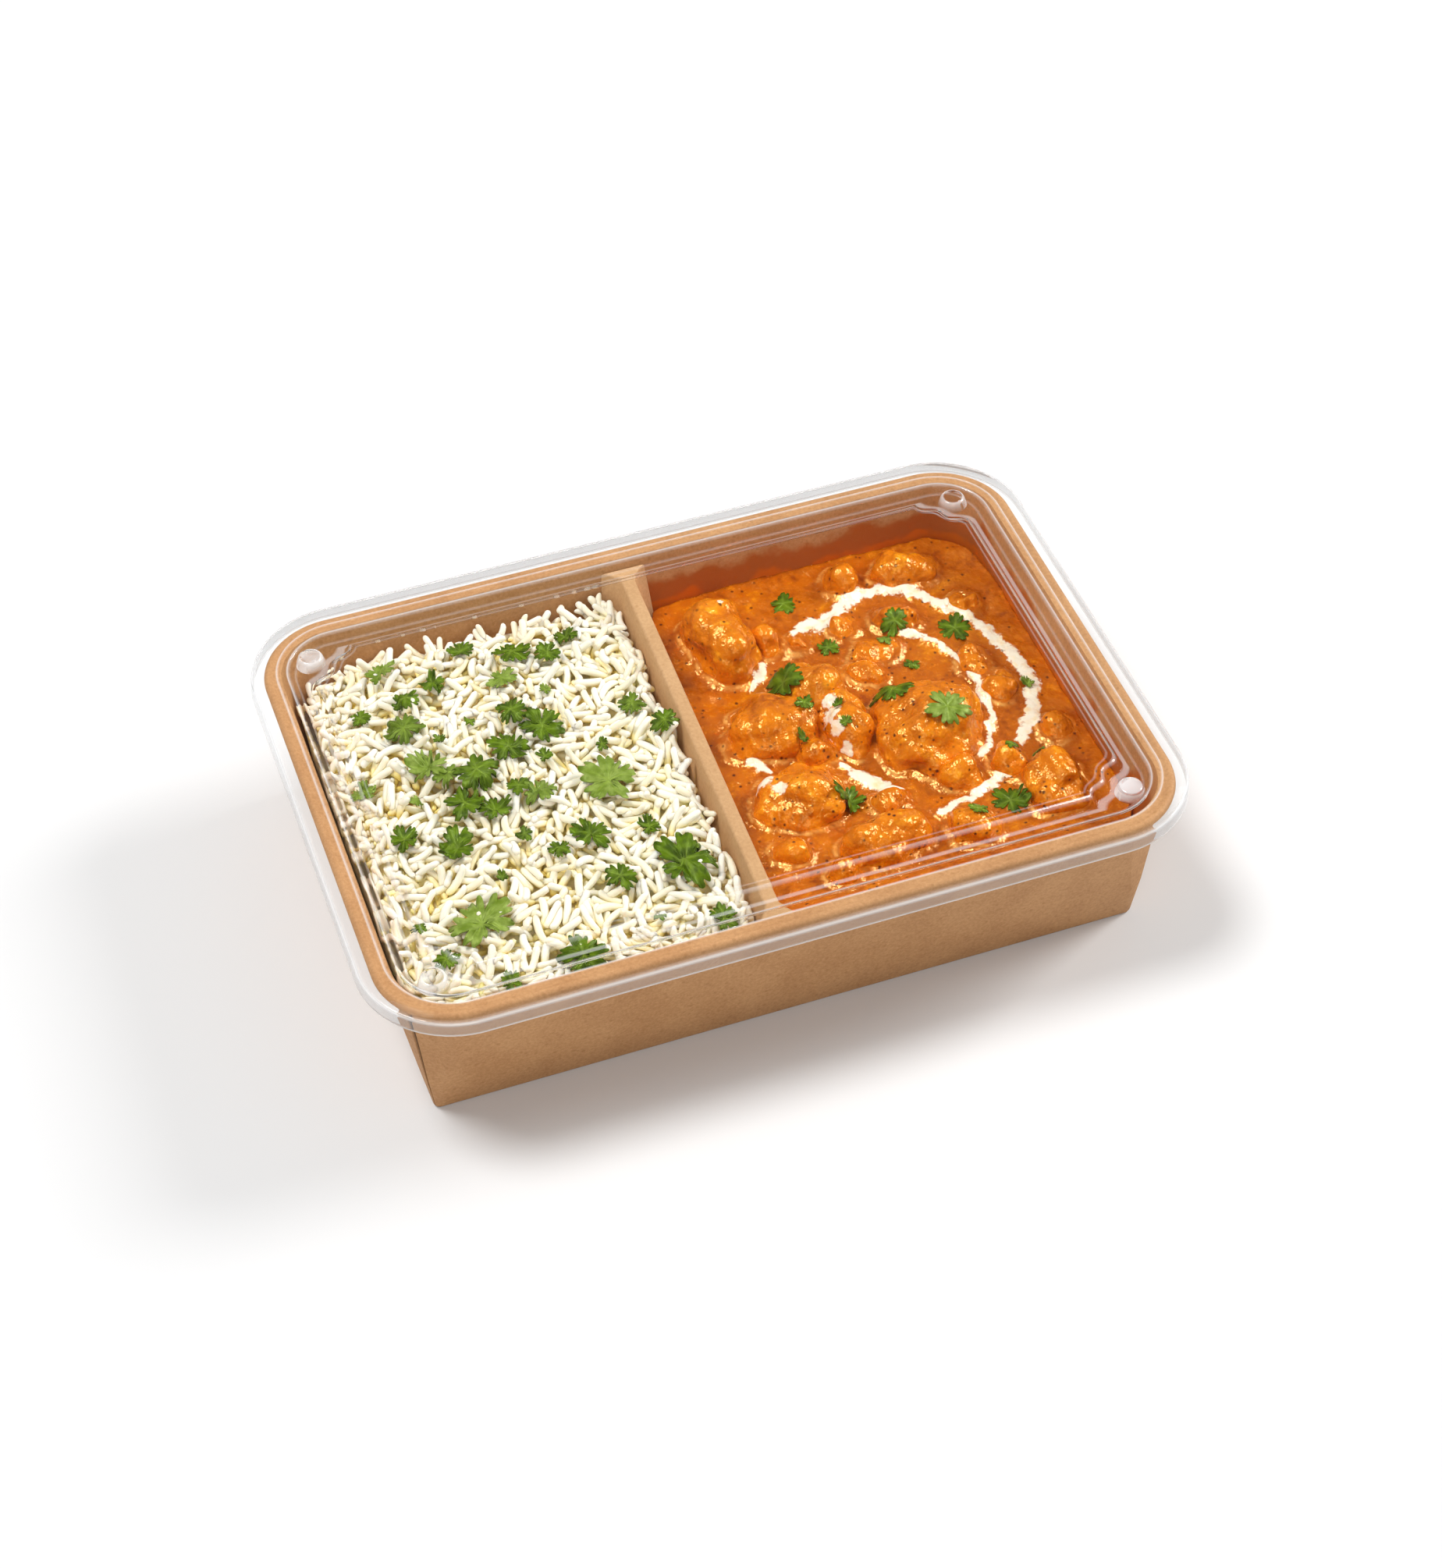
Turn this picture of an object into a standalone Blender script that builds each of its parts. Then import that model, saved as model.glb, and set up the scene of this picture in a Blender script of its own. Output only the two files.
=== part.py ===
# A bento box meal: a two-compartment tray of folded kraft board under a clear
# press-fit lid, with white rice on the left and chicken in a creamy sauce on the right.
# The origin is the middle of the base, on the table. +X is right, +Y is back, +Z is up.
# Sizes are given in millimetres and turned into metres where the meshes are made.

import math
import random

import bmesh
import bpy
import numpy
from mathutils import Matrix, Vector, noise
from mathutils.bvhtree import BVHTree

MM = 0.001
GAP = 0.35                  # clearance between neighbouring pieces
CUT_GAP = 0.5               # how far a cutter is swelled, so that its flats keep GAP
UP = Vector((0, 0, 1))
SEED = 7

# Tray
HEIGHT = 50.4               # base to the top of the rim
RIM_HALF = (112.5, 77.5)
RIM_RADIUS = 22.0
RIM_WIDTH = 5.0             # width of the flat top of the rim
RIM_DEPTH = 3.0
RIM_EASE = 0.4              # small bevel on the rim's edges
BASE_HALF = (101.8, 64.5)
BASE_RADIUS = 1.6
WALL_TOP_HALF = (109.4, 74.0)
WALL_TOP_RADIUS = 16.0
BOARD = 1.4                 # thickness of the walls at the floor
FLOOR = 0.9
FLOOR_RADIUS = 1.2
CORNER_STEPS = 6

# Divider
DIVIDER_TOP = 47.0
DIVIDER_TOP_HALF = 2.0
DIVIDER_SPREAD = 0.087      # half width gained per millimetre downwards
DIVIDER_MIDDLE = -4.4       # where its middle crosses Y = 0
DIVIDER_EASE = 0.8          # depth of the bevel along its top
DIVIDER_CROWN = 0.8         # width of the flat between the bevels, as a share
DIVIDER_SKEW = 0.03         # it stands slightly turned in the tray
FLARE = (4.5, 6.0)          # width and length of the glued tabs at its ends

# Food
SAUCE_GRID = (8, 10)
RICE_GRID = (13, 17)
SAUCE_LEVEL = 32.0
SAUCE_BUMPS = [(12, 0.5)]   # width and height of each size of bump
RICE_EDGE = 39.0
RICE_CROWN = 4.5
RICE_BUMPS = [(16, 1.3), (7, 0.8)]
FOOD_CLEAR = 0.15           # more clearance, as straight facets cut across round corners
WALL_CORNER = (3.0, 0.34)   # corner radius at the outer wall: at the floor, and per millimetre up
DIVIDER_CORNER = 13.0       # the food keeps clear of the divider's tabs
CORNER_PULL = 0.4
CORNER_POWER = 8
GRAIN_LENGTH = 9.0
GRAIN_RADIUS = 1.1
GRAIN_SPACING = 10.4
GRAIN_SIDES = 5
GRAIN_RINGS = 4
GRAIN_SHIFT = 1.6
GRAIN_TILT = 0.3
GRAIN_PROUD = 0.25          # share of the radius that the middle stands over the heap
GRAIN_MARGIN = 2.0          # kept free between a grain and the edge of the heap
LEAF_THICKNESS = 0.35
LEAF_LOBES = 5
LEAF_WAVE = 0.35
LEAF_STEEPEST = 0.45         # rise over run
LEAF_SHARE = (0.97, 1.0, 0.58)      # reach of a lobe's two shoulders and of the notch beside it
LEAF_SPREAD = (-0.2, 0.2, 0.5)      # where they are, as a share of the lobe's angle
LEAF_REACH = 1.1            # what lies within this distance of a leaf's point holds it up
RAY_START = 90.0

# Lid: offsets from the rim's outer edge (outwards is positive) and heights over the rim
# with the corner radius. The last two say whether the corner is cut straight, and its wave.
LID_UNDERSIDE = [
    (-16.3, 1.1, 11.7, True, 0.4),
    (-14.2, 0.4, 12.5, True, 0.8),
    (-12.4, -2.3, 13.3, True, 0.8),
    (-9.0, -2.3, 11.4, False, 0.0),
    (-7.4, -1.2, 13.5, False, 0.0),
    (-6.2, 0.45, 15.6, False, 0.0),
    (3.0, 0.45, 26.5, False, 0.0),
    (3.2, -0.1, 27.0, False, 0.0),
    (3.6, -3.3, 27.4, False, 0.0),
]
LID_TOP_SIDE = [
    (4.2, -3.3, 28.0, False, 0.0),
    (3.8, 0.5, 27.6, False, 0.0),
    (3.1, 1.05, 26.9, False, 0.0),
    (-6.4, 1.05, 15.6, False, 0.0),
    (-8.1, -0.8, 13.2, False, 0.0),
    (-9.3, -1.7, 11.4, False, 0.0),
    (-12.0, -1.7, 13.3, True, 0.8),
    (-13.8, 0.9, 12.5, True, 0.8),
    (-16.0, 1.7, 11.7, True, 0.4),
]
LID_SHEET = 0.6
LUG_RADIUS = 3.6
LUG_TAPER = 0.72
LUG_SIDES = 9
LUG_INSET = 14.9
LUG_TOP = 0.9
LUG_FOOT = -2.0
LUG_HOLLOW_FOOT = -2.9

# Chicken: x, y, half width, half depth, rise over the sauce, turn in degrees, boxiness
CHICKEN = [
    [(18.6, 43.3, 8.8, 15.5, 13.0, 6, 0.8)],
    [(31.5, 42.0, 4.4, 7.0, 5.0, 0, 1.0)],
    [(39.3, 37.3, 4.2, 5.2, 3.5, 20, 1.0)],
    [(61.4, 57.6, 5.3, 7.2, 5.0, 0, 1.0)],
    [(80.0, 56.0, 11.4, 7.0, 5.5, -8, 0.9)],
    [(92.4, 37.4, 5.5, 5.6, 4.0, -30, 1.0)],
    [(70.7, 37.6, 8.3, 5.2, 4.0, -10, 1.0)],
    [(60.2, 27.0, 9.5, 5.2, 3.0, 10, 1.0)],
    [
        (20.0, 7.5, 14.5, 11.0, 9.0, 10, 0.9),
        (37.1, 17.2, 11.0, 10.5, 10.0, -15, 0.9),
        (41.0, 1.5, 8.0, 13.0, 8.5, 5, 0.9),
        (29.5, -6.5, 6.2, 6.0, 5.0, 0, 1.0),
    ],
    [(62.1, -8.2, 15.2, 16.8, 11.0, -14, 0.7)],
    [(63.9, -26.0, 7.0, 6.5, 5.0, 0, 1.0)],
    [(18.5, -21.0, 13.0, 11.8, 8.5, -12, 0.95)],
    [(35.3, -43.5, 15.5, 7.7, 7.5, 6, 0.9)],
    [(9.4, -38.6, 5.8, 5.8, 4.5, 0, 1.0)],
    [(19.7, -49.2, 5.3, 5.0, 4.0, 0, 1.0)],
    [(59.3, -47.0, 6.9, 8.2, 6.0, 0, 1.0)],
    [(87.7, -38.8, 8.6, 11.0, 8.0, -15, 0.85)],
    [(41.0, -29.2, 6.4, 5.0, 3.5, 10, 1.0)],
    [(88.5, 1.9, 5.6, 6.4, 4.0, 0, 1.0)],
    [(77.4, -26.3, 6.8, 6.6, 5.0, -20, 1.0)],
    [(96.9, -19.6, 4.9, 6.8, 3.5, 0, 1.0)],
    [(54.0, 19.0, 7.5, 4.6, 3.5, -20, 1.0)],
    [(85.3, 13.8, 4.5, 6.2, 3.5, 0, 1.0)],
    [(54.7, 40.1, 4.6, 5.8, 3.5, 0, 1.0)],
]
CHICKEN_KEEL = 11.0         # how deep a piece sits under the sauce
LUMP_ROUGHNESS = 0.16
LUMP_ROUGH_SCALE = 1.6
LARGE_LUMP = 9.0            # half width from which a piece gets more sides
LUMP_DETAIL = [(7, 5), (10, 6)]     # sides and rings of a small and of a large piece

# Cream drizzle on the sauce: x, y and half width along each pour
CREAM_POURS = [
    [(39.7, 42.5, 1.4), (45.4, 43.8, 3.0), (51.0, 43.8, 3.4), (57.0, 48.4, 2.6), (62.8, 51.0, 2.4),
     (69.5, 51.3, 2.2), (76.1, 48.8, 2.4), (81.2, 44.9, 2.0), (85.0, 40.0, 1.8), (88.9, 34.5, 1.6),
     (92.2, 27.8, 1.8), (94.1, 21.0, 2.6), (96.2, 14.9, 2.2), (97.2, 7.2, 2.2), (97.2, 0.0, 2.6),
     (94.6, -6.8, 2.2), (90.4, -14.3, 2.8), (85.4, -20.1, 1.8)],
    [(70.1, 31.3, 1.2), (74.3, 29.0, 1.7), (77.5, 25.2, 1.5), (80.3, 19.5, 1.3), (81.6, 12.4, 1.2),
     (82.6, 6.0, 1.2), (82.4, -0.4, 1.3), (81.0, -8.2, 1.3), (77.7, -15.9, 1.3), (72.6, -21.6, 1.2)],
    [(75.0, -30.6, 2.2), (69.7, -33.5, 1.9), (63.6, -36.2, 1.6), (58.0, -36.6, 1.8), (53.2, -38.4, 1.3)],
    [(33.9, -11.7, 1.0), (36.5, -16.4, 2.0), (40.0, -21.4, 2.6), (43.2, -24.4, 2.0), (46.9, -26.4, 1.0)],
    [(26.6, 32.0, 1.6), (23.9, 27.7, 1.7), (20.6, 25.1, 1.0)],
    [(10.2, -1.7, 1.3), (12.8, -4.5, 1.8), (13.9, -7.4, 1.0)],
]
CREAM_FLATTEN = 0.55
CREAM_STEPS = 1
CREAM_SINK = 0.3            # middle of a pour over the sauce

# Leaves: x, y, radius and turn in degrees
RICE_LEAVES = [
    (-42.3, 51.4, 4.9, 20), (-33.1, 46.5, 3.7, 200), (-76.3, 41.6, 3.7, 40), (-79.6, 31.0, 4.9, 120),
    (-67.3, 46.6, 3.4, 300), (-48.4, 41.1, 3.7, 330), (-49.8, 27.0, 4.0, 0), (-43.2, 19.7, 5.3, 250),
    (-54.3, 15.0, 4.9, 75), (-77.3, 14.6, 5.1, 160), (-65.6, 7.8, 5.7, 300), (-72.0, -2.6, 5.1, 20),
    (-64.6, -6.7, 4.0, 95), (-51.2, -4.7, 4.6, 210), (-32.4, -6.9, 7.1, 140), (-90.6, -7.8, 3.7, 30),
    (-78.2, -16.7, 4.9, 170), (-43.3, -25.0, 4.9, 80), (-22.5, -42.1, 7.5, 350), (-40.5, -42.4, 3.7, 60),
    (-79.6, -44.5, 7.5, 100), (-57.8, -63.3, 5.5, 15),
]
SAUCE_LEAVES = [
    (41.8, 55.6, 3.9, 0), (28.3, 19.2, 5.0, 30), (55.9, 4.5, 5.0, 15), (65.5, -12.0, 5.5, 330),
    (85.1, 28.7, 4.6, 60), (68.5, 34.6, 3.5, 100), (47.5, 33.3, 3.0, 80), (31.1, -25.7, 4.2, 200),
    (73.0, -40.7, 4.4, 45),
]

KRAFT = (0.62, 0.40, 0.22)
KRAFT_DIVIDER = (0.66, 0.44, 0.26)
CLEAR = (0.93, 0.94, 0.95)
RICE = (0.90, 0.87, 0.76)
SAUCE = (0.80, 0.27, 0.03)
CHICKEN_COAT = (0.85, 0.33, 0.05)
LEAF_GREEN = (0.13, 0.28, 0.03)


def clear_scene():
    for item in list(bpy.data.objects):
        bpy.data.objects.remove(item)


def new_collection(name):
    collection = bpy.data.collections.new(name)
    bpy.context.scene.collection.children.link(collection)
    return collection


def make_material(name, colour, roughness, alpha=1.0):
    material = bpy.data.materials.new(name)
    material.use_nodes = True
    shader = material.node_tree.nodes["Principled BSDF"]
    shader.inputs["Base Color"].default_value = (*colour, 1.0)
    shader.inputs["Roughness"].default_value = roughness
    shader.inputs["Metallic"].default_value = 0.0
    shader.inputs["Alpha"].default_value = alpha
    return material


def finish_object(name, bm, collection, material):
    # Turns a bmesh in millimetres into an object in metres.
    bmesh.ops.recalc_face_normals(bm, faces=bm.faces)
    bmesh.ops.scale(bm, vec=(MM, MM, MM), verts=bm.verts)
    mesh = bpy.data.meshes.new(name)
    bm.to_mesh(mesh)
    bm.free()
    mesh.materials.append(material)
    item = bpy.data.objects.new(name, mesh)
    collection.objects.link(item)
    return item


def loft(rings):
    # Joins loops with the same number of points and closes both ends.
    bm = bmesh.new()
    loops = [[bm.verts.new(point) for point in ring] for ring in rings]
    count = len(rings[0])
    for below, above in zip(loops, loops[1:]):
        for index in range(count):
            following = (index + 1) % count
            bm.faces.new((below[index], below[following], above[following], above[index]))
    bm.faces.new(loops[0])
    bm.faces.new(loops[-1])
    return bm


def corner_ring(half, radius, z, cut=False, wave=0.0):
    # A rectangle with round corners, or with straight cut corners that may wave.
    points = []
    for quarter in range(4):
        turn = quarter * math.pi / 2
        side_x = 1 if quarter in (0, 3) else -1
        side_y = 1 if quarter in (0, 1) else -1
        centre = Vector((side_x * (half[0] - radius), side_y * (half[1] - radius), z))
        start = Vector((math.cos(turn), math.sin(turn), 0))
        end = Vector((-math.sin(turn), math.cos(turn), 0))
        outward = (start + end).normalized()
        for step in range(CORNER_STEPS + 1):
            share = step / CORNER_STEPS
            if cut:
                ripple = wave * math.sin(share * 4 * math.pi)
                points.append(centre + start.lerp(end, share) * radius + outward * ripple)
            else:
                angle = share * math.pi / 2
                points.append(centre + (start * math.cos(angle) + end * math.sin(angle)) * radius)
    return points


def offset_half(half, offset):
    return (half[0] + offset, half[1] + offset)


def inner_half(z):
    # Half width and half depth of the space inside the tray at height z.
    share = (z - FLOOR) / (HEIGHT - FLOOR)
    low = offset_half(BASE_HALF, -BOARD)
    high = offset_half(RIM_HALF, -RIM_WIDTH)
    return (low[0] + (high[0] - low[0]) * share, low[1] + (high[1] - low[1]) * share)


def divider_half(z):
    return DIVIDER_TOP_HALF + DIVIDER_SPREAD * (DIVIDER_TOP - z)


def divider_middle(y):
    return DIVIDER_MIDDLE + DIVIDER_SKEW * y


def make_tray(collection, material):
    top = HEIGHT
    under = HEIGHT - RIM_DEPTH
    inner_radius = RIM_RADIUS - RIM_WIDTH
    rings = [
        corner_ring(BASE_HALF, BASE_RADIUS, 0),
        corner_ring(WALL_TOP_HALF, WALL_TOP_RADIUS, under),
        corner_ring(offset_half(RIM_HALF, -RIM_EASE), RIM_RADIUS, under),
        corner_ring(RIM_HALF, RIM_RADIUS, under + RIM_EASE),
        corner_ring(RIM_HALF, RIM_RADIUS, top - RIM_EASE),
        corner_ring(offset_half(RIM_HALF, -RIM_EASE), RIM_RADIUS, top),
        corner_ring(offset_half(RIM_HALF, RIM_EASE - RIM_WIDTH), inner_radius, top),
        corner_ring(inner_half(top - RIM_EASE), inner_radius, top - RIM_EASE),
        corner_ring(inner_half(FLOOR), FLOOR_RADIUS, FLOOR),
    ]
    return finish_object("tray", loft(rings), collection, material)


def divider_ring(z):
    # Seen from above: a straight wall with a tab spreading at each end.
    half = divider_half(z)
    length = inner_half(z)[1] - GAP
    outline = []
    for side, end in ((1, 1), (-1, 1), (-1, -1), (1, -1)):
        neck = (side * half, end * (length - FLARE[1]))
        shoulder = (side * (half + FLARE[0] / 2), end * (length - FLARE[1] / 3))
        tip = (side * (half + FLARE[0]), end * length)
        outline.extend((neck, shoulder, tip) if side * end > 0 else (tip, shoulder, neck))
    return [Vector((x + divider_middle(y), y, z)) for x, y in outline]


def make_divider(collection, material):
    crown = []
    for point in divider_ring(DIVIDER_TOP):
        middle = divider_middle(point.y)
        crown.append(Vector((middle + (point.x - middle) * DIVIDER_CROWN, point.y, DIVIDER_TOP)))
    rings = [divider_ring(FLOOR + GAP), divider_ring(DIVIDER_TOP - DIVIDER_EASE), crown]
    return finish_object("divider", loft(rings), collection, material)


def lid_ring(station):
    offset, height, radius, cut, wave = station
    return corner_ring(offset_half(RIM_HALF, offset), radius, HEIGHT + height, cut, wave)


def make_lug(side_x, side_y, radius, top, bottom):
    # A round boss that narrows upwards, used as the lug and as its hollow.
    bm = bmesh.new()
    bmesh.ops.create_cone(
        bm,
        cap_ends=True,
        segments=LUG_SIDES,
        radius1=radius,
        radius2=radius * LUG_TAPER,
        depth=top - bottom,
    )
    centre = Vector((
        side_x * (RIM_HALF[0] - LUG_INSET),
        side_y * (RIM_HALF[1] - LUG_INSET),
        HEIGHT + (top + bottom) / 2,
    ))
    bmesh.ops.translate(bm, vec=centre, verts=bm.verts)
    return bm


def make_lid(collection, tools, material):
    rings = [lid_ring(station) for station in LID_UNDERSIDE + LID_TOP_SIDE]
    lid = finish_object("lid", loft(rings), collection, material)
    bosses = new_collection("lid_lugs")
    hollows = new_collection("lid_lug_hollows")
    tools.children.link(bosses)
    tools.children.link(hollows)
    inner_radius = LUG_RADIUS - LID_SHEET
    for side_x in (-1, 1):
        for side_y in (-1, 1):
            boss = make_lug(side_x, side_y, LUG_RADIUS, LUG_TOP, LUG_FOOT)
            finish_object("lug", boss, bosses, material)
            hollow = make_lug(side_x, side_y, inner_radius, LUG_TOP - LID_SHEET, LUG_HOLLOW_FOOT)
            finish_object("hollow", hollow, hollows, material)
    combine(lid, bosses, 'UNION')
    combine(lid, hollows, 'DIFFERENCE')
    return lid


def combine(target, collection, operation):
    # One Boolean on a collection, applied, with the collection's objects removed.
    modifier = target.modifiers.new("combine", 'BOOLEAN')
    modifier.operation = operation
    modifier.operand_type = 'COLLECTION'
    modifier.collection = collection
    modifier.solver = 'EXACT'
    bake(target)
    for item in list(collection.objects):
        bpy.data.objects.remove(item)
    bpy.data.collections.remove(collection)
    keep_largest(target)


def bake(target):
    bpy.context.view_layer.update()
    graph = bpy.context.evaluated_depsgraph_get()
    mesh = bpy.data.meshes.new_from_object(target.evaluated_get(graph))
    target.modifiers.clear()
    target.data = mesh


def keep_largest(target):
    # Drops loose scraps and sealed hollows that a Boolean may leave.
    bm = bmesh.new()
    bm.from_mesh(target.data)
    waiting = set(bm.verts)
    islands = []
    while waiting:
        stack = [waiting.pop()]
        island = set(stack)
        while stack:
            for edge in stack.pop().link_edges:
                for vertex in edge.verts:
                    if vertex not in island:
                        island.add(vertex)
                        waiting.discard(vertex)
                        stack.append(vertex)
        islands.append(island)
    islands.sort(key=len)
    for island in islands[:-1]:
        bmesh.ops.delete(bm, geom=list(island), context='VERTS')
    bmesh.ops.triangulate(bm, faces=bm.faces, ngon_method='EAR_CLIP')
    drop_folds(bm)
    bm.to_mesh(target.data)
    bm.free()


def drop_folds(bm):
    # Splitting a concave flat can fold an ear onto the triangle beside it: both go.
    seen = {}
    folded = []
    for face in bm.faces:
        corners = frozenset(face.verts)
        if corners in seen:
            folded.extend((seen[corners], face))
        seen[corners] = face
    bmesh.ops.delete(bm, geom=folded, context='FACES')


def food_point(side, u, v, z):
    # A point of a food block: u runs from the outer wall (-1) to the divider (1).
    half_x, half_y = inner_half(z)
    radius = WALL_CORNER[0] + WALL_CORNER[1] * z if u < 0 else DIVIDER_CORNER
    pull = CORNER_PULL * radius
    clear = GAP + FOOD_CLEAR
    y = v * (half_y - clear - pull * u ** CORNER_POWER)
    outer = side * (half_x - clear)
    inner = divider_middle(y) + side * (divider_half(z) + clear)
    share = u * (1 - pull * v ** CORNER_POWER * 2 / abs(outer - inner))
    x = (outer + inner) / 2 + (inner - outer) / 2 * share
    return Vector((x, y, z))


def food_block(side, columns, rows, height_at):
    # A block that fills one compartment up to an uneven top.
    bm = bmesh.new()
    bmesh.ops.create_grid(bm, x_segments=columns, y_segments=rows, size=1.0)
    place = {vertex: (vertex.co.x, vertex.co.y) for vertex in bm.verts}
    border = [edge for edge in bm.edges if edge.is_boundary]
    skirt = bmesh.ops.extrude_edge_only(bm, edges=border)["geom"]
    low = [item for item in skirt if isinstance(item, bmesh.types.BMVert)]
    for vertex in low:
        vertex.co = food_point(side, vertex.co.x, vertex.co.y, FLOOR + GAP)
    for vertex, (u, v) in place.items():
        nominal = food_point(side, u, v, SAUCE_LEVEL)
        vertex.co = food_point(side, u, v, height_at(nominal.x, nominal.y))
    rim = [edge for edge in bm.edges if edge.is_boundary]
    bmesh.ops.contextual_create(bm, geom=rim)
    return bm


def bumps_at(x, y, sizes):
    return sum(height * noise.noise(Vector((x / width, y / width, width))) for width, height in sizes)


def rice_height(x, y):
    left = -inner_half(RICE_EDGE)[0]
    across = (x - (left + divider_middle(y)) / 2) / ((divider_middle(y) - left) / 2)
    along = y / inner_half(RICE_EDGE)[1]
    crown = max(0.0, 1 - across ** 4) * max(0.0, 1 - along ** 4)
    return RICE_EDGE + RICE_CROWN * crown ** 0.7 + bumps_at(x, y, RICE_BUMPS)


def sauce_height(x, y):
    return SAUCE_LEVEL + bumps_at(x, y, SAUCE_BUMPS)


def make_grain(collection, material, spot, heading, tilt, length):
    bm = bmesh.new()
    bmesh.ops.create_uvsphere(bm, u_segments=GRAIN_SIDES, v_segments=GRAIN_RINGS, radius=1.0)
    shape = Matrix.Diagonal((GRAIN_RADIUS, GRAIN_RADIUS, length / 2, 1))
    turn = Matrix.Rotation(heading, 4, 'Z') @ Matrix.Rotation(math.pi / 2 + tilt, 4, 'Y')
    bmesh.ops.transform(bm, matrix=Matrix.Translation(spot) @ turn @ shape, verts=bm.verts)
    return finish_object("grain", bm, collection, material)


def near_leaf(x, y, leaves, margin):
    return any(math.hypot(x - leaf[0], y - leaf[1]) < leaf[2] + margin for leaf in leaves)


def make_rice(collection, tools, material):
    rice = finish_object("rice", food_block(-1, *RICE_GRID, rice_height), collection, material)
    grains = new_collection("grains")
    tools.children.link(grains)
    draw = random.Random(SEED)
    half_x, half_y = inner_half(RICE_EDGE)
    reach = GRAIN_LENGTH / 2 + GRAIN_MARGIN
    row = -half_y + reach
    while row < half_y - reach:
        column = -half_x + reach
        while column < divider_middle(row) - divider_half(RICE_EDGE) - reach:
            x = column + draw.uniform(-GRAIN_SHIFT, GRAIN_SHIFT)
            y = row + draw.uniform(-GRAIN_SHIFT, GRAIN_SHIFT)
            heading = draw.uniform(0, math.pi)
            tilt = draw.uniform(-GRAIN_TILT, GRAIN_TILT)
            length = GRAIN_LENGTH * draw.uniform(0.85, 1.0)
            column += GRAIN_SPACING
            if near_leaf(x, y, RICE_LEAVES, GRAIN_LENGTH / 2):
                continue
            spot = Vector((x, y, rice_height(x, y) + GRAIN_PROUD * GRAIN_RADIUS))
            make_grain(grains, material, spot, heading, tilt, length)
        row += GRAIN_SPACING
    combine(rice, grains, 'UNION')
    return rice


def lump_mesh(lump, swell=0.0):
    # An uneven piece: a ball made boxier, roughened, stretched and turned.
    x, y, half_x, half_y, rise, turn, boxiness = lump
    bm = bmesh.new()
    sides, rings = LUMP_DETAIL[max(half_x, half_y) > LARGE_LUMP]
    bmesh.ops.create_uvsphere(bm, u_segments=sides, v_segments=rings, radius=1.0)
    half_z = (rise + CHICKEN_KEEL) / 2
    for vertex in bm.verts:
        direction = vertex.co.copy()
        boxed = Vector([math.copysign(abs(value) ** boxiness, value) for value in direction])
        rough = 1 + LUMP_ROUGHNESS * noise.noise(direction * LUMP_ROUGH_SCALE + Vector((x, y, turn)))
        vertex.co = Vector((boxed.x * half_x, boxed.y * half_y, boxed.z * half_z)) * rough
    bmesh.ops.triangulate(bm, faces=bm.faces)
    place = Matrix.Translation((x, y, SAUCE_LEVEL + rise - half_z))
    bmesh.ops.transform(bm, matrix=place @ Matrix.Rotation(math.radians(turn), 4, 'Z'), verts=bm.verts)
    if swell:
        bm.normal_update()
        for vertex in bm.verts:
            vertex.co += vertex.normal * swell
    return bm


def make_cutters(name, lumps, tools, material):
    cutters = new_collection(name)
    tools.children.link(cutters)
    for lump in lumps:
        finish_object("cutter", lump_mesh(lump, CUT_GAP), cutters, material)
    return cutters


def overlap_in_plan(first, second):
    reach = max(first[2], first[3]) + max(second[2], second[3]) + 1.0
    return math.hypot(first[0] - second[0], first[1] - second[1]) < reach


def make_chicken(collection, tools, material):
    pieces = []
    done = []
    for number, lumps in enumerate(CHICKEN, start=1):
        piece = finish_object("chicken_%02d" % number, lump_mesh(lumps[0]), collection, material)
        if len(lumps) > 1:
            extra = new_collection("extra")
            tools.children.link(extra)
            for lump in lumps[1:]:
                finish_object("extra", lump_mesh(lump), extra, material)
            combine(piece, extra, 'UNION')
        close = [old for old in done if any(overlap_in_plan(old, lump) for lump in lumps)]
        if close:
            combine(piece, make_cutters("neighbours", close, tools, material), 'DIFFERENCE')
        done.extend(lumps)
        pieces.append(piece)
    return pieces


def smooth_path(points):
    # Catmull-Rom curve through the points, with CREAM_STEPS steps between two of them.
    path = []
    padded = [points[0]] + points + [points[-1]]
    for index in range(len(points) - 1):
        before, start, end, after = (Vector(p) for p in padded[index:index + 4])
        for step in range(CREAM_STEPS):
            t = step / CREAM_STEPS
            a = 2 * start + (end - before) * t
            b = (2 * before - 5 * start + 4 * end - after) * t ** 2
            c = (3 * start - before - 3 * end + after) * t ** 3
            path.append((a + b + c) / 2)
    path.append(Vector(points[-1]))
    return path


def make_cream(collection, material):
    # Each pour is a round curve, made a mesh, welded and flattened onto the sauce.
    for pour in CREAM_POURS:
        curve = bpy.data.curves.new("cream", 'CURVE')
        curve.dimensions = '3D'
        curve.bevel_depth = MM
        curve.bevel_resolution = 0
        curve.use_fill_caps = True
        path = smooth_path(pour)
        spline = curve.splines.new('POLY')
        spline.points.add(len(path) - 1)
        for point, (x, y, half) in zip(spline.points, path):
            point.co = (x * MM, y * MM, 0, 1)
            point.radius = half
        guide = bpy.data.objects.new("cream_guide", curve)
        collection.objects.link(guide)
        bpy.context.view_layer.update()
        graph = bpy.context.evaluated_depsgraph_get()
        mesh = bpy.data.meshes.new_from_object(guide.evaluated_get(graph))
        bm = bmesh.new()
        bm.from_mesh(mesh)
        bpy.data.objects.remove(guide)
        bmesh.ops.remove_doubles(bm, verts=bm.verts, dist=0.01 * MM)
        bmesh.ops.scale(bm, vec=(1 / MM, 1 / MM, CREAM_FLATTEN / MM), verts=bm.verts)
        bmesh.ops.translate(bm, vec=(0, 0, SAUCE_LEVEL + CREAM_SINK), verts=bm.verts)
        finish_object("cream", bm, collection, material)


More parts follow.
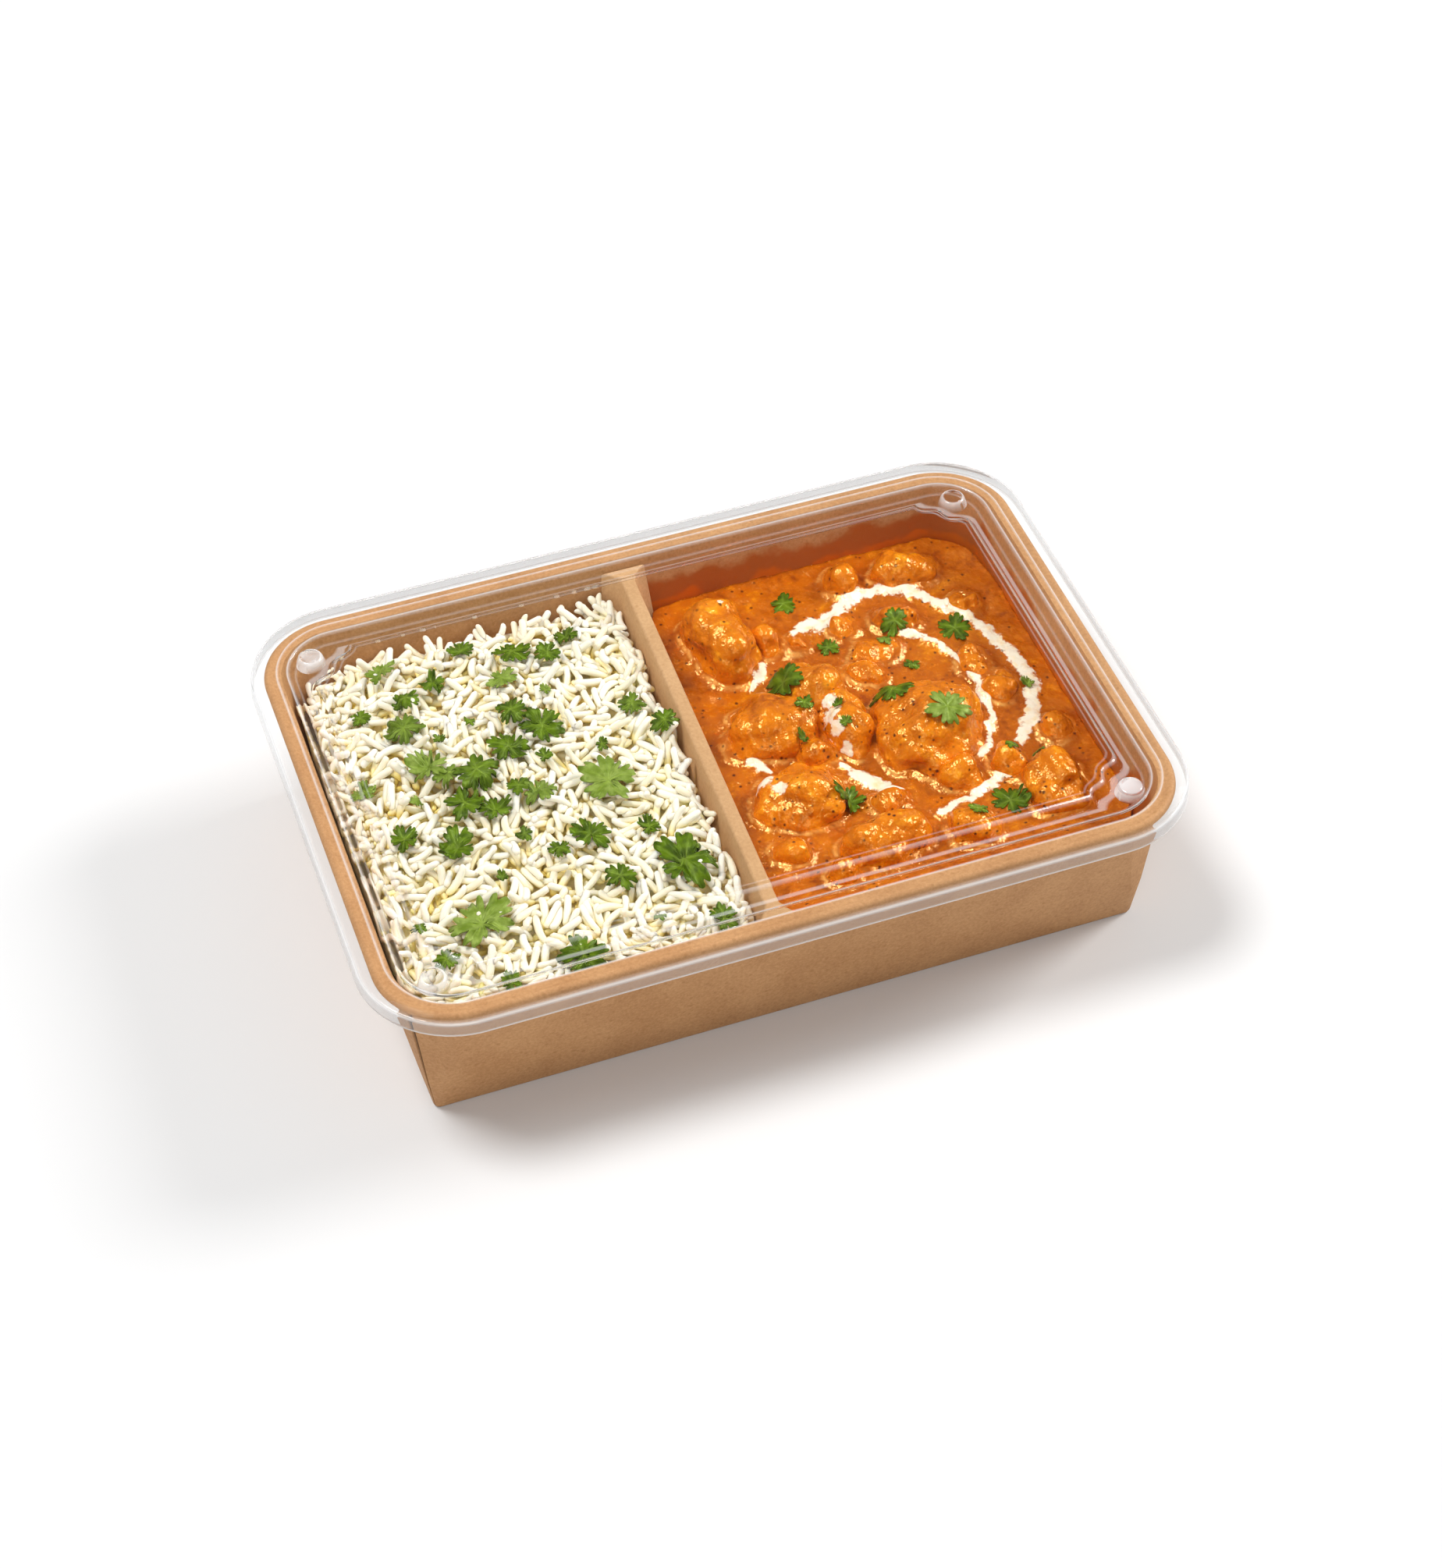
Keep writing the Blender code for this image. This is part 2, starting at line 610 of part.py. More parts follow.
def make_sauce(collection, tools, material):
    sauce = finish_object("sauce", food_block(1, *SAUCE_GRID, sauce_height), collection, material)
    cream = new_collection("cream")
    tools.children.link(cream)
    make_cream(cream, material)
    combine(sauce, cream, 'UNION')
    every_lump = [lump for lumps in CHICKEN for lump in lumps]
    combine(sauce, make_cutters("pockets", every_lump, tools, material), 'DIFFERENCE')
    return sauce


def tree_of(items):
    # One search tree over several pieces, in metres.
    corners = []
    faces = []
    for item in items:
        base = len(corners)
        corners.extend(vertex.co.copy() for vertex in item.data.vertices)
        item.data.calc_loop_triangles()
        for triangle in item.data.loop_triangles:
            faces.append([base + index for index in triangle.vertices])
    return BVHTree.FromPolygons(corners, faces)


def top_at(tree, x, y):
    # Highest surface within a small ring round a spot, in millimetres.
    best = 0.0
    turns = 8
    for turn in range(turns + 1):
        reach = 0.0 if turn == turns else LEAF_REACH
        angle = turn * 2 * math.pi / turns
        start = Vector((x + reach * math.cos(angle), y + reach * math.sin(angle), RAY_START))
        hit = tree.ray_cast(start * MM, -UP)[0]
        if hit is not None:
            best = max(best, hit.z / MM)
    return best


def lean_of(outline, ground):
    # Slope in X and Y of the flat that fits the ground under a leaf best.
    rows = [(dx, dy, 1.0) for dx, dy in outline]
    fit = numpy.linalg.lstsq(numpy.array(rows), numpy.array(ground), rcond=None)[0]
    slope = Vector((fit[0], fit[1]))
    if slope.length > LEAF_STEEPEST:
        slope *= LEAF_STEEPEST / slope.length
    return slope


def make_leaf(name, leaf, tree, collection, material):
    # A thin lobed sheet that lies on what is under it; both faces are the same fan.
    x, y, radius, turn = leaf
    count = LEAF_LOBES * len(LEAF_SHARE)
    outline = [(0.0, 0.0)]
    for lobe in range(LEAF_LOBES):
        for share, spread in zip(LEAF_SHARE, LEAF_SPREAD):
            angle = (lobe + spread) * 2 * math.pi / LEAF_LOBES + math.radians(turn)
            outline.append((radius * share * math.cos(angle), radius * share * math.sin(angle)))
    ground = [top_at(tree, x + dx, y + dy) for dx, dy in outline]
    slope = lean_of(outline, ground)
    lift = max(height - slope.dot((dx, dy)) for (dx, dy), height in zip(outline, ground))
    lower = []
    for dx, dy in outline:
        wave = LEAF_WAVE * (1 + math.sin(3 * math.atan2(dy, dx) + turn)) * math.hypot(dx, dy) / radius
        height = slope.dot((dx, dy)) + lift + GAP + wave
        lower.append(Vector((x + dx, y + dy, height)))
    bm = bmesh.new()
    under = [bm.verts.new(point) for point in lower]
    over = [bm.verts.new(point + UP * LEAF_THICKNESS) for point in lower]
    for index in range(1, count + 1):
        following = index % count + 1
        bm.faces.new((under[0], under[following], under[index]))
        bm.faces.new((over[0], over[index], over[following]))
        bm.faces.new((under[index], under[following], over[following]))
        bm.faces.new((under[index], over[following], over[index]))
    return finish_object(name, bm, collection, material)


def make_leaves(prefix, leaves, carriers, collection, material):
    resting = list(carriers)
    for number, leaf in enumerate(leaves, start=1):
        name = "%s_%02d" % (prefix, number)
        resting.append(make_leaf(name, leaf, tree_of(resting), collection, material))


def main():
    clear_scene()
    meal = new_collection("bento_box_meal")
    tools = new_collection("tools")
    kraft = make_material("kraft", KRAFT, 0.75)
    kraft_divider = make_material("kraft_divider", KRAFT_DIVIDER, 0.7)
    clear = make_material("clear_plastic", CLEAR, 0.08, alpha=0.3)
    rice_white = make_material("rice", RICE, 0.45)
    sauce_orange = make_material("sauce", SAUCE, 0.25)
    coated = make_material("coated_chicken", CHICKEN_COAT, 0.3)
    green = make_material("coriander", LEAF_GREEN, 0.5)
    make_tray(meal, kraft)
    make_divider(meal, kraft_divider)
    make_lid(meal, tools, clear)
    rice = make_rice(meal, tools, rice_white)
    chicken = make_chicken(meal, tools, coated)
    sauce = make_sauce(meal, tools, sauce_orange)
    make_leaves("rice_leaf", RICE_LEAVES, [rice], meal, green)
    make_leaves("sauce_leaf", SAUCE_LEAVES, [sauce] + chicken, meal, green)


main()
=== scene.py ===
import math
import random

import bmesh
import bpy
import numpy as np
from mathutils import Matrix, Vector, noise
from mathutils.bvhtree import BVHTree


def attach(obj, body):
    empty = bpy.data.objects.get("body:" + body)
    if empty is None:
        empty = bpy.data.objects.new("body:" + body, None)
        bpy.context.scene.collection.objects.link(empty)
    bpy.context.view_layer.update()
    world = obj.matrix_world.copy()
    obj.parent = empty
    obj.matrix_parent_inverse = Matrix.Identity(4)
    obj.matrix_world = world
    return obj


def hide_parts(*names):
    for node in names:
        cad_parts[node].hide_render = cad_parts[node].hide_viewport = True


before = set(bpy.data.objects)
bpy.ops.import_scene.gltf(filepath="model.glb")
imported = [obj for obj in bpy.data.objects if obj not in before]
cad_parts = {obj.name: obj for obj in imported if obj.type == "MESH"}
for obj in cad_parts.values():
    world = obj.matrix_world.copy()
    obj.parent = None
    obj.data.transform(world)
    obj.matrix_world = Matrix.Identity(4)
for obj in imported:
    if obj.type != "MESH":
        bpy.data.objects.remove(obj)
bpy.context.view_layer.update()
bpy.context.scene.view_settings.view_transform = "Standard"
mm = 0.001

# Shared sizes of the box, in millimetres
box = {
    "height": 50.4,
    "rimHalf": (112.5, 77.5),
    "rimWidth": 5.0,
    "baseHalf": (101.8, 64.5),
    "board": 1.4,
    "floor": 0.9,
    "dividerTop": 47.0,
    "dividerTopHalf": 2.0,
    "dividerSpread": 0.087,
    "dividerMiddle": -4.4,
    "dividerSkew": 0.03,
}


class Wire:
    # A value on its way to a shader. Arithmetic on it adds Math nodes.
    def __init__(self, finish, socket):
        self.finish = finish
        self.socket = socket

    def math(self, operation, first, second=0.0):
        return self.finish.add("ShaderNodeMath", {"operation": operation}, {0: first, 1: second})

    def __add__(self, other):
        return self.math("ADD", self, other)

    def __radd__(self, other):
        return self.math("ADD", other, self)

    def __sub__(self, other):
        return self.math("SUBTRACT", self, other)

    def __rsub__(self, other):
        return self.math("SUBTRACT", other, self)

    def __mul__(self, other):
        return self.math("MULTIPLY", self, other)

    def __rmul__(self, other):
        return self.math("MULTIPLY", other, self)

    def __truediv__(self, other):
        return self.math("DIVIDE", self, other)

    def __rtruediv__(self, other):
        return self.math("DIVIDE", other, self)

    def __pow__(self, other):
        return self.math("POWER", self, other)

    def ramp(self, low, high):
        # 0 below low, 1 above high, with a soft start and end.
        settings = {"interpolation_type": "SMOOTHSTEP"}
        return self.finish.add("ShaderNodeMapRange", settings, {"Value": self, "From Min": low, "From Max": high})


class Finish:
    # A material in the making. Constants go straight onto the shader's sockets.
    def __init__(self, name, **constants):
        self.material = bpy.data.materials.new(name)
        self.material.use_nodes = True
        self.tree = self.material.node_tree
        self.shader = self.tree.nodes["Principled BSDF"]
        for key, value in constants.items():
            self.feed(self.shader.inputs[socketNames[key]], value)

    def feed(self, socket, value):
        if isinstance(value, Wire):
            self.tree.links.new(value.socket, socket)
        else:
            socket.default_value = value

    def add(self, kind, settings=None, values=None, out=0):
        node = self.tree.nodes.new(kind)
        for key, value in (settings or {}).items():
            setattr(node, key, value)
        for key, value in (values or {}).items():
            self.feed(node.inputs[key], value)
        return Wire(self, node.outputs[out])

    def drive(self, key, value):
        self.feed(self.shader.inputs[socketNames[key]], value)

    def place(self, stretch=(1, 1, 1)):
        spot = self.add("ShaderNodeTexCoord", out="Object")
        if stretch == (1, 1, 1):
            return spot
        return self.add("ShaderNodeMapping", {}, {"Vector": spot, "Scale": stretch})

    def axes(self):
        split = self.add("ShaderNodeSeparateXYZ", {}, {"Vector": self.place()}).socket.node
        return [Wire(self, split.outputs[axis]) for axis in "XYZ"]

    def mottle(self, size, detail=3.0, stretch=(1, 1, 1), roughness=0.5, distortion=0.0):
        # Soft noise from 0 to 1 with blotches about size millimetres wide.
        values = {"Vector": self.place(stretch), "Scale": 1 / (size * mm), "Detail": detail,
                  "Roughness": roughness, "Distortion": distortion}
        return self.add("ShaderNodeTexNoise", {}, values)

    def cells(self, size, feature="F1", randomness=1.0, stretch=(1, 1, 1)):
        values = {"Vector": self.place(stretch), "Scale": 1 / (size * mm), "Randomness": randomness}
        return self.add("ShaderNodeTexVoronoi", {"feature": feature}, values)

    def carried(self, name):
        return self.add("ShaderNodeAttribute", {"attribute_name": name}, out="Fac")

    def blend(self, factor, first, second, way="MIX"):
        settings = {"data_type": "RGBA", "blend_type": way}
        return self.add("ShaderNodeMix", settings, {0: factor, 6: first, 7: second}, out=2)

    def relief(self, height, depth, strength=1.0):
        values = {"Strength": strength, "Distance": depth * mm, "Height": height}
        self.drive("normal", self.add("ShaderNodeBump", {}, values))


socketNames = {
    "colour": "Base Color",
    "roughness": "Roughness",
    "metallic": "Metallic",
    "alpha": "Alpha",
    "normal": "Normal",
    "coat": "Coat Weight",
    "coatRoughness": "Coat Roughness",
    "specular": "Specular IOR Level",
    "specularTint": "Specular Tint",
    "subsurface": "Subsurface Weight",
    "subsurfaceReach": "Subsurface Radius",
    "subsurfaceScale": "Subsurface Scale",
    "transmission": "Transmission Weight",
    "refraction": "IOR",
}


def paint(red, green, blue):
    # A colour as seen on a screen, 0 to 255, made linear.
    def straight(value):
        value /= 255
        return value / 12.92 if value <= 0.04045 else ((value + 0.055) / 1.055) ** 2.4
    return (straight(red), straight(green), straight(blue), 1.0)


def linkPiece(name, mesh, finish, nodes=(), sharpFrom=180):
    mesh.materials.clear()
    mesh.materials.append(finish.material)
    mesh.shade_smooth()
    if sharpFrom < 180:
        mesh.set_sharp_from_angle(angle=math.radians(sharpFrom))
    piece = bpy.data.objects.new(name, mesh)
    bpy.context.scene.collection.objects.link(piece)
    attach(piece, "root")
    if nodes:
        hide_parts(*nodes)
    return piece


def meshFrom(bm, name):
    # A bmesh in millimetres becomes a mesh in metres.
    bmesh.ops.scale(bm, vec=(mm, mm, mm), verts=bm.verts)
    mesh = bpy.data.meshes.new(name)
    bm.to_mesh(mesh)
    bm.free()
    return mesh


def readPoints(mesh):
    points = np.zeros(len(mesh.vertices) * 3)
    mesh.vertices.foreach_get("co", points)
    return points.reshape(-1, 3) / mm


def writePoints(mesh, points):
    mesh.vertices.foreach_set("co", (np.asarray(points) * mm).ravel())
    mesh.update()


def readNormals(mesh):
    normals = np.zeros(len(mesh.vertices) * 3)
    mesh.vertex_normals.foreach_get("vector", normals)
    return normals.reshape(-1, 3)


def carry(mesh, name, values):
    # Stores one number per vertex for a material to read.
    layer = mesh.attributes.new(name, "FLOAT", "POINT")
    layer.data.foreach_set("value", np.asarray(values, dtype=np.float32))


def treeOf(meshes):
    corners = []
    faces = []
    for mesh in meshes:
        base = len(corners)
        corners.extend(vertex.co / mm for vertex in mesh.vertices)
        mesh.calc_loop_triangles()
        faces.extend([base + index for index in triangle.vertices] for triangle in mesh.loop_triangles)
    return BVHTree.FromPolygons(corners, faces)


def innerHalf(z):
    share = (z - box["floor"]) / (box["height"] - box["floor"])
    lowX, lowY = (half - box["board"] for half in box["baseHalf"])
    highX, highY = (half - box["rimWidth"] for half in box["rimHalf"])
    return lowX + (highX - lowX) * share, lowY + (highY - lowY) * share


def dividerHalf(z):
    return box["dividerTopHalf"] + box["dividerSpread"] * (box["dividerTop"] - z)


def dividerMiddle(y):
    return box["dividerMiddle"] + box["dividerSkew"] * y


# Loops with round, cut or folded corners, for the tray and the lid

def startLoop(bm, steps):
    # A square plate with bevelled corners. Each corner point is known by its side and its share of the turn.
    bmesh.ops.create_grid(bm, x_segments=1, y_segments=1, size=1)
    bmesh.ops.bevel(bm, geom=bm.verts[:], offset=0.5, offset_type="OFFSET", segments=steps,
                    profile=0.5, affect="VERTICES", material=-1)
    keys = {}
    for vertex in bm.verts:
        side = (math.copysign(1, vertex.co.x), math.copysign(1, vertex.co.y))
        turn = math.atan2(max(abs(vertex.co.y) - 0.5, 0), max(abs(vertex.co.x) - 0.5, 0))
        keys[vertex] = (side, turn / (math.pi / 2))
    return keys, bm.edges[:]


def growLoop(bm, keys, ring):
    made = bmesh.ops.extrude_edge_only(bm, edges=ring)["geom"]
    fresh = {item for item in made if isinstance(item, bmesh.types.BMVert)}
    for vertex in fresh:
        for edge in vertex.link_edges:
            parent = edge.other_vert(vertex)
            if parent not in fresh:
                keys[vertex] = keys[parent]
    grown = {edge for vertex in fresh for edge in vertex.link_edges if edge.other_vert(vertex) in fresh}
    return fresh, list(grown)


def cornerSpot(half, radius, z, key, shape="round", wave=0.0):
    side, share = key
    if shape == "cut":
        across, along = 1 - share, share
        ripple = wave * math.sin(share * 4 * math.pi) / math.sqrt(2)
    else:
        across, along = math.cos(share * math.pi / 2), math.sin(share * math.pi / 2)
        ripple = 0.0
    x = half[0] - radius + radius * across + ripple
    y = half[1] - radius + radius * along + ripple
    return Vector((side[0] * x, side[1] * y, z))


def growStations(stations, steps, spotOf):
    # One closed skin through all stations, with a flat at the first and the last.
    bm = bmesh.new()
    keys, ring = startLoop(bm, steps)
    ranks = {vertex: 0 for vertex in keys}
    for vertex in list(bm.verts):
        vertex.co = spotOf(stations[0], keys[vertex])
    for rank, station in enumerate(stations[1:], 1):
        fresh, ring = growLoop(bm, keys, ring)
        for vertex in fresh:
            vertex.co = spotOf(station, keys[vertex])
            ranks[vertex] = rank
    bmesh.ops.contextual_create(bm, geom=ring)
    bmesh.ops.recalc_face_normals(bm, faces=bm.faces)
    return bm, keys, ranks


# Kraft board

def kraftFinish(name, deep, light, stained=False):
    kraft = Finish(name, roughness=0.6, specular=0.25)
    fibres = kraft.mottle(0.9, 5, (1, 1, 1), 0.65)
    blotches = kraft.mottle(16, 3)
    specks = kraft.cells(3.1).ramp(0.1, 0.24)
    tone = (fibres - 0.5) * 0.8 + (blotches - 0.5) * 0.45 + 0.5
    ground = kraft.blend(tone.ramp(0.15, 0.85), deep, light)
    ground = kraft.blend(specks, kraft.blend(0.6, ground, deep), ground)
    if stained:
        x, y, z = kraft.axes()
        wet = kraft.carried("inside") * x.ramp(-2 * mm, 1 * mm)
        reach = 39.5 * mm + (kraft.mottle(12, 4) - 0.5) * (16 * mm)
        oil = wet * (1 - (z - reach).ramp(-1.5 * mm, 2.5 * mm))
        ground = kraft.blend(oil * 0.85, ground, paint(164, 78, 8))
        film = wet * (1 - (z - reach).ramp(-8 * mm, -5.5 * mm))
        ground = kraft.blend(film * 0.8, ground, paint(204, 100, 6))
        # The slit is painted near black: painted shade inside the groove where the board overlaps.
        ground = kraft.blend(kraft.carried("slit"), ground, paint(52, 32, 18))
        kraft.drive("roughness", 0.6 - oil * 0.3)
    kraft.drive("colour", ground)
    kraft.relief(fibres, 0.1, 0.6)
    return kraft


trayBoard = {
    "steps": 24,
    "deep": paint(166, 117, 72),
    "light": paint(202, 154, 106),
    "slitDepth": 0.9,
    "slitAt": 9,
    "facets": (0.0, 0.375, 1.0),
}


def foldedSpot(half, radius, z, key, fold):
    # The wall's corner is folded flat between creases, with one slit where the board overlaps.
    side, share = key
    marks = trayBoard["facets"]
    low, high = next(pair for pair in zip(marks, marks[1:]) if share <= pair[1])
    start, end = (Vector((math.cos(mark * math.pi / 2), math.sin(mark * math.pi / 2))) for mark in (low, high))
    flat = start.lerp(end, (share - low) / (high - low))
    curve = Vector((math.cos(share * math.pi / 2), math.sin(share * math.pi / 2)))
    point = curve.lerp(flat, fold) * radius
    if fold > 0 and atSlit(share):
        point -= curve * trayBoard["slitDepth"]
    return Vector((side[0] * (half[0] - radius + point.x), side[1] * (half[1] - radius + point.y), z))


def atSlit(share):
    return round(share * trayBoard["steps"]) == trayBoard["slitAt"]


def makeTray():
    settings = trayBoard
    height = box["height"]
    rim = box["rimHalf"]
    base = box["baseHalf"]

    def grow(half, amount):
        return (half[0] + amount, half[1] + amount)

    outside = [
        (grow(base, -1.0), 1.6, 0.0, 0.0),
        (grow(base, -0.3), 1.6, 0.15, 0.0),
        (base, 1.7, 0.8, 0.5),
        ((104.0, 67.3), 5.0, 14.0, 1.0),
        ((106.4, 70.2), 10.0, 29.0, 1.0),
        ((109.0, 73.6), 15.2, 45.2, 0.8),
        ((109.3, 73.9), 16.6, 47.2, 0.4),
        ((111.4, 76.4), 20.8, 47.4, 0.0),
        (grow(rim, -0.4), 21.6, 47.7, 0.0),
        (grow(rim, -0.05), 22.0, 48.4, 0.0),
        (rim, 22.0, 49.1, 0.0),
        (grow(rim, -0.25), 21.8, 49.8, 0.0),
        (grow(rim, -0.8), 21.2, 50.25, 0.0),
        (grow(rim, -1.5), 20.5, height, 0.0),
        (grow(rim, -2.2), 19.8, 50.2, 0.0),
        (grow(rim, -2.8), 19.2, 49.85, 0.0),
        (grow(rim, -4.0), 18.0, 49.85, 0.0),
        (grow(rim, -4.5), 17.5, 50.05, 0.0),
        (grow(rim, -4.9), 17.1, 49.95, 0.0),
        (grow(rim, -5.15), 16.8, 49.5, 0.0),
    ]
    inside = [
        (innerHalf(46.0), 15.2, 46.0, 0.0),
        (innerHalf(26.0), 9.0, 26.0, 0.0),
        (innerHalf(3.0), 2.4, 3.0, 0.0),
        (tuple(value - 0.6 for value in innerHalf(box["floor"])), 1.6, box["floor"], 0.0),
    ]

    def spotOf(station, key):
        half, radius, z, fold = station
        return foldedSpot(half, radius, z, key, fold)

    bm, keys, ranks = growStations(outside + inside, settings["steps"], spotOf)
    within = [float(ranks[vertex] >= len(outside)) for vertex in bm.verts]
    # Vertices along the slit, which get its painted shade.
    slitShades = [float(atSlit(keys[vertex][1]) and 1 < ranks[vertex] < 7) for vertex in bm.verts]
    mesh = meshFrom(bm, "trayBoard")
    carry(mesh, "inside", within)
    carry(mesh, "slit", slitShades)
    finish = kraftFinish("kraftBoard", settings["deep"], settings["light"], stained=True)
    linkPiece("trayBoard", mesh, finish, ("tray",), sharpFrom=38)
    print("tray")




makeTray()


dividerBoard = {
    "flare": (4.5, 6.0),
    "bevel": 0.7,
    "deep": paint(180, 136, 90),
    "light": paint(206, 165, 120),
}


def makeDivider():
    # A folded wall with a tab spreading at each end, glued to the tray.
    settings = dividerBoard
    flareWide, flareLong = settings["flare"]

    def outline(z):
        half = dividerHalf(z)
        length = innerHalf(z)[1] - 0.2
        points = []
        for side, end in ((1, 1), (-1, 1), (-1, -1), (1, -1)):
            neck = (side * half, end * (length - flareLong))
            shoulder = (side * (half + flareWide / 2), end * (length - flareLong / 3))
            tip = (side * (half + flareWide), end * length)
            points.extend((neck, shoulder, tip) if side * end > 0 else (tip, shoulder, neck))
        return [Vector((x + dividerMiddle(y), y, z)) for x, y in points]

    bm = bmesh.new()
    low = [bm.verts.new(point) for point in outline(1.2)]
    bottom = bm.faces.new(low)
    made = bmesh.ops.extrude_face_region(bm, geom=[bottom])["geom"]
    top = [item for item in made if isinstance(item, bmesh.types.BMVert)]
    for vertex, point in zip(sorted(top, key=lambda v: low.index(min(low, key=lambda w: (w.co - v.co).length))),
                             outline(box["dividerTop"])):
        vertex.co = point
    topSet = set(top)
    ridge = [edge for edge in bm.edges if edge.verts[0] in topSet and edge.verts[1] in topSet]
    bmesh.ops.bevel(bm, geom=ridge, offset=settings["bevel"], offset_type="OFFSET", segments=3,
                    profile=0.5, affect="EDGES", material=-1)
    bmesh.ops.recalc_face_normals(bm, faces=bm.faces)
    finish = kraftFinish("kraftDivider", settings["deep"], settings["light"])
    linkPiece("dividerBoard", meshFrom(bm, "dividerBoard"), finish, ("divider",), sharpFrom=40)
    print("divider")


makeDivider()


# Food blocks

def foodPoint(side, u, v, z, inset=0.3):
    halfX, halfY = innerHalf(z)
    radius = 3.0 + 0.34 * z if u < 0 else 9.0
    pull = 0.4 * radius
    y = v * (halfY - inset - pull * u ** 8)
    outer = side * (halfX - inset)
    inner = dividerMiddle(y) + side * (dividerHalf(z) + inset)
    share = u * (1 - pull * v ** 8 * 2 / abs(outer - inner))
    return Vector(((outer + inner) / 2 + (inner - outer) / 2 * share, y, z))


def foodBlock(side, columns, rows, level, heightAt, inset):
    bm = bmesh.new()
    bmesh.ops.create_grid(bm, x_segments=columns, y_segments=rows, size=1.0)
    plan = {vertex: (vertex.co.x, vertex.co.y) for vertex in bm.verts}
    border = [edge for edge in bm.edges if edge.is_boundary]
    skirt = bmesh.ops.extrude_edge_only(bm, edges=border)["geom"]
    for vertex in (item for item in skirt if isinstance(item, bmesh.types.BMVert)):
        vertex.co = foodPoint(side, vertex.co.x, vertex.co.y, 1.3, inset)
    for vertex, (u, v) in plan.items():
        spot = foodPoint(side, u, v, level, inset)
        vertex.co = foodPoint(side, u, v, heightAt(spot.x, spot.y), inset)
    bmesh.ops.contextual_create(bm, geom=[edge for edge in bm.edges if edge.is_boundary])
    bmesh.ops.recalc_face_normals(bm, faces=bm.faces)
    return bm


# Rice

rice = {
    "edge": 39.0,
    "crown": 4.5,
    "backDrop": 3.0,
    "backFrom": 42.0,
    "leftDrop": 4.0,
    "leftWide": 16.0,
    "bumps": ((16, 1.3), (7, 0.8)),
    "coreDrop": 4.6,
    "most": 4600,
    "underShare": 0.45,
    "length": (7.0, 10.5),
    "radius": (0.92, 1.16),
    "sink": 0.7,
    "standing": 0.02,
    "standingAtWall": 0.14,
    "seed": 11,
    "cell": 0.5,
    "low": (-108.0, -74.0),
    "cells": (214, 296),
}


def riceHeight(x, y):
    left = -innerHalf(rice["edge"])[0]
    right = dividerMiddle(y)
    across = (x - (left + right) / 2) / ((right - left) / 2)
    along = y / innerHalf(rice["edge"])[1]
    crown = max(0.0, 1 - across ** 4) * max(0.0, 1 - along ** 4)
    bumps = sum(height * noise.noise(Vector((x / width, y / width, width))) for width, height in rice["bumps"])
    slope = rice["backDrop"] * max(0.0, (y - rice["backFrom"]) / (innerHalf(rice["edge"])[1] - rice["backFrom"])) ** 1.5
    slope += rice["leftDrop"] * max(0.0, 1 - (x - left) / rice["leftWide"]) ** 1.3
    return rice["edge"] + rice["crown"] * crown ** 0.7 + bumps - slope


def coreHeight(x, y):
    # The core lies under the grains and falls away at the walls.
    halfX, halfY = innerHalf(rice["edge"])
    room = min(halfY - abs(y), halfX + x, dividerMiddle(y) - dividerHalf(rice["edge"]) - x)
    return riceHeight(x, y) - rice["coreDrop"] - 3.0 * min(1.0, max(0.0, 1 - room / 2.5))


def riceFinish():
    white = Finish("cookedRice", roughness=0.45, specular=0.25, subsurface=0.8,
                   subsurfaceReach=(0.75, 0.85, 1.0), subsurfaceScale=0.0012)
    tone = white.carried("tone")
    depth = white.carried("depth")
    pale = white.blend(tone, paint(250, 244, 230), paint(246, 236, 208))
    # Painted light: grains low in the heap and the core are coloured warm gold, a painted glow lifting the shade in the
    # gaps; higher grains keep their pale colour.
    gapGlow = white.blend(white.mottle(22, 2).ramp(0.35, 0.65), paint(255, 226, 128), paint(255, 238, 170))
    white.drive("colour", white.blend(depth, gapGlow, pale))
    return white


def grainShape(sides, rings, bend):
    # One cooked grain along X, a little bent, with blunt ends.
    bm = bmesh.new()
    bmesh.ops.create_uvsphere(bm, u_segments=sides, v_segments=rings, radius=1.0)
    bmesh.ops.rotate(bm, matrix=Matrix.Rotation(math.pi / 2, 3, "Y"), verts=bm.verts)
    for vertex in bm.verts:
        t = vertex.co.x
        girth = math.hypot(vertex.co.y, vertex.co.z)
        if girth > 1e-6:
            past = max(abs(t) - 0.78, 0) / 0.22
            scale = math.sqrt(max(1 - past * past, 0)) * (1 - 0.08 * t * t) / girth
            vertex.co.y *= scale
            vertex.co.z *= scale
        vertex.co.z += bend * (0.4 - t * t)
    bm.verts.ensure_lookup_table()
    points = np.array([vertex.co[:] for vertex in bm.verts])
    faces = [[vertex.index for vertex in face.verts] for face in bm.faces]
    bm.free()
    return points, faces


def insideRice(x, y, z, margin):
    halfX, halfY = innerHalf(z)
    if abs(y) > halfY - margin or x < -halfX + margin or x > dividerMiddle(y) - dividerHalf(z) - margin:
        return False
    radius = 3.0 + 0.27 * z
    overX = -(x + halfX - radius)
    overY = abs(y) - (halfY - radius)
    return not (overX > 0 and overY > 0 and math.hypot(overX, overY) > radius - margin)


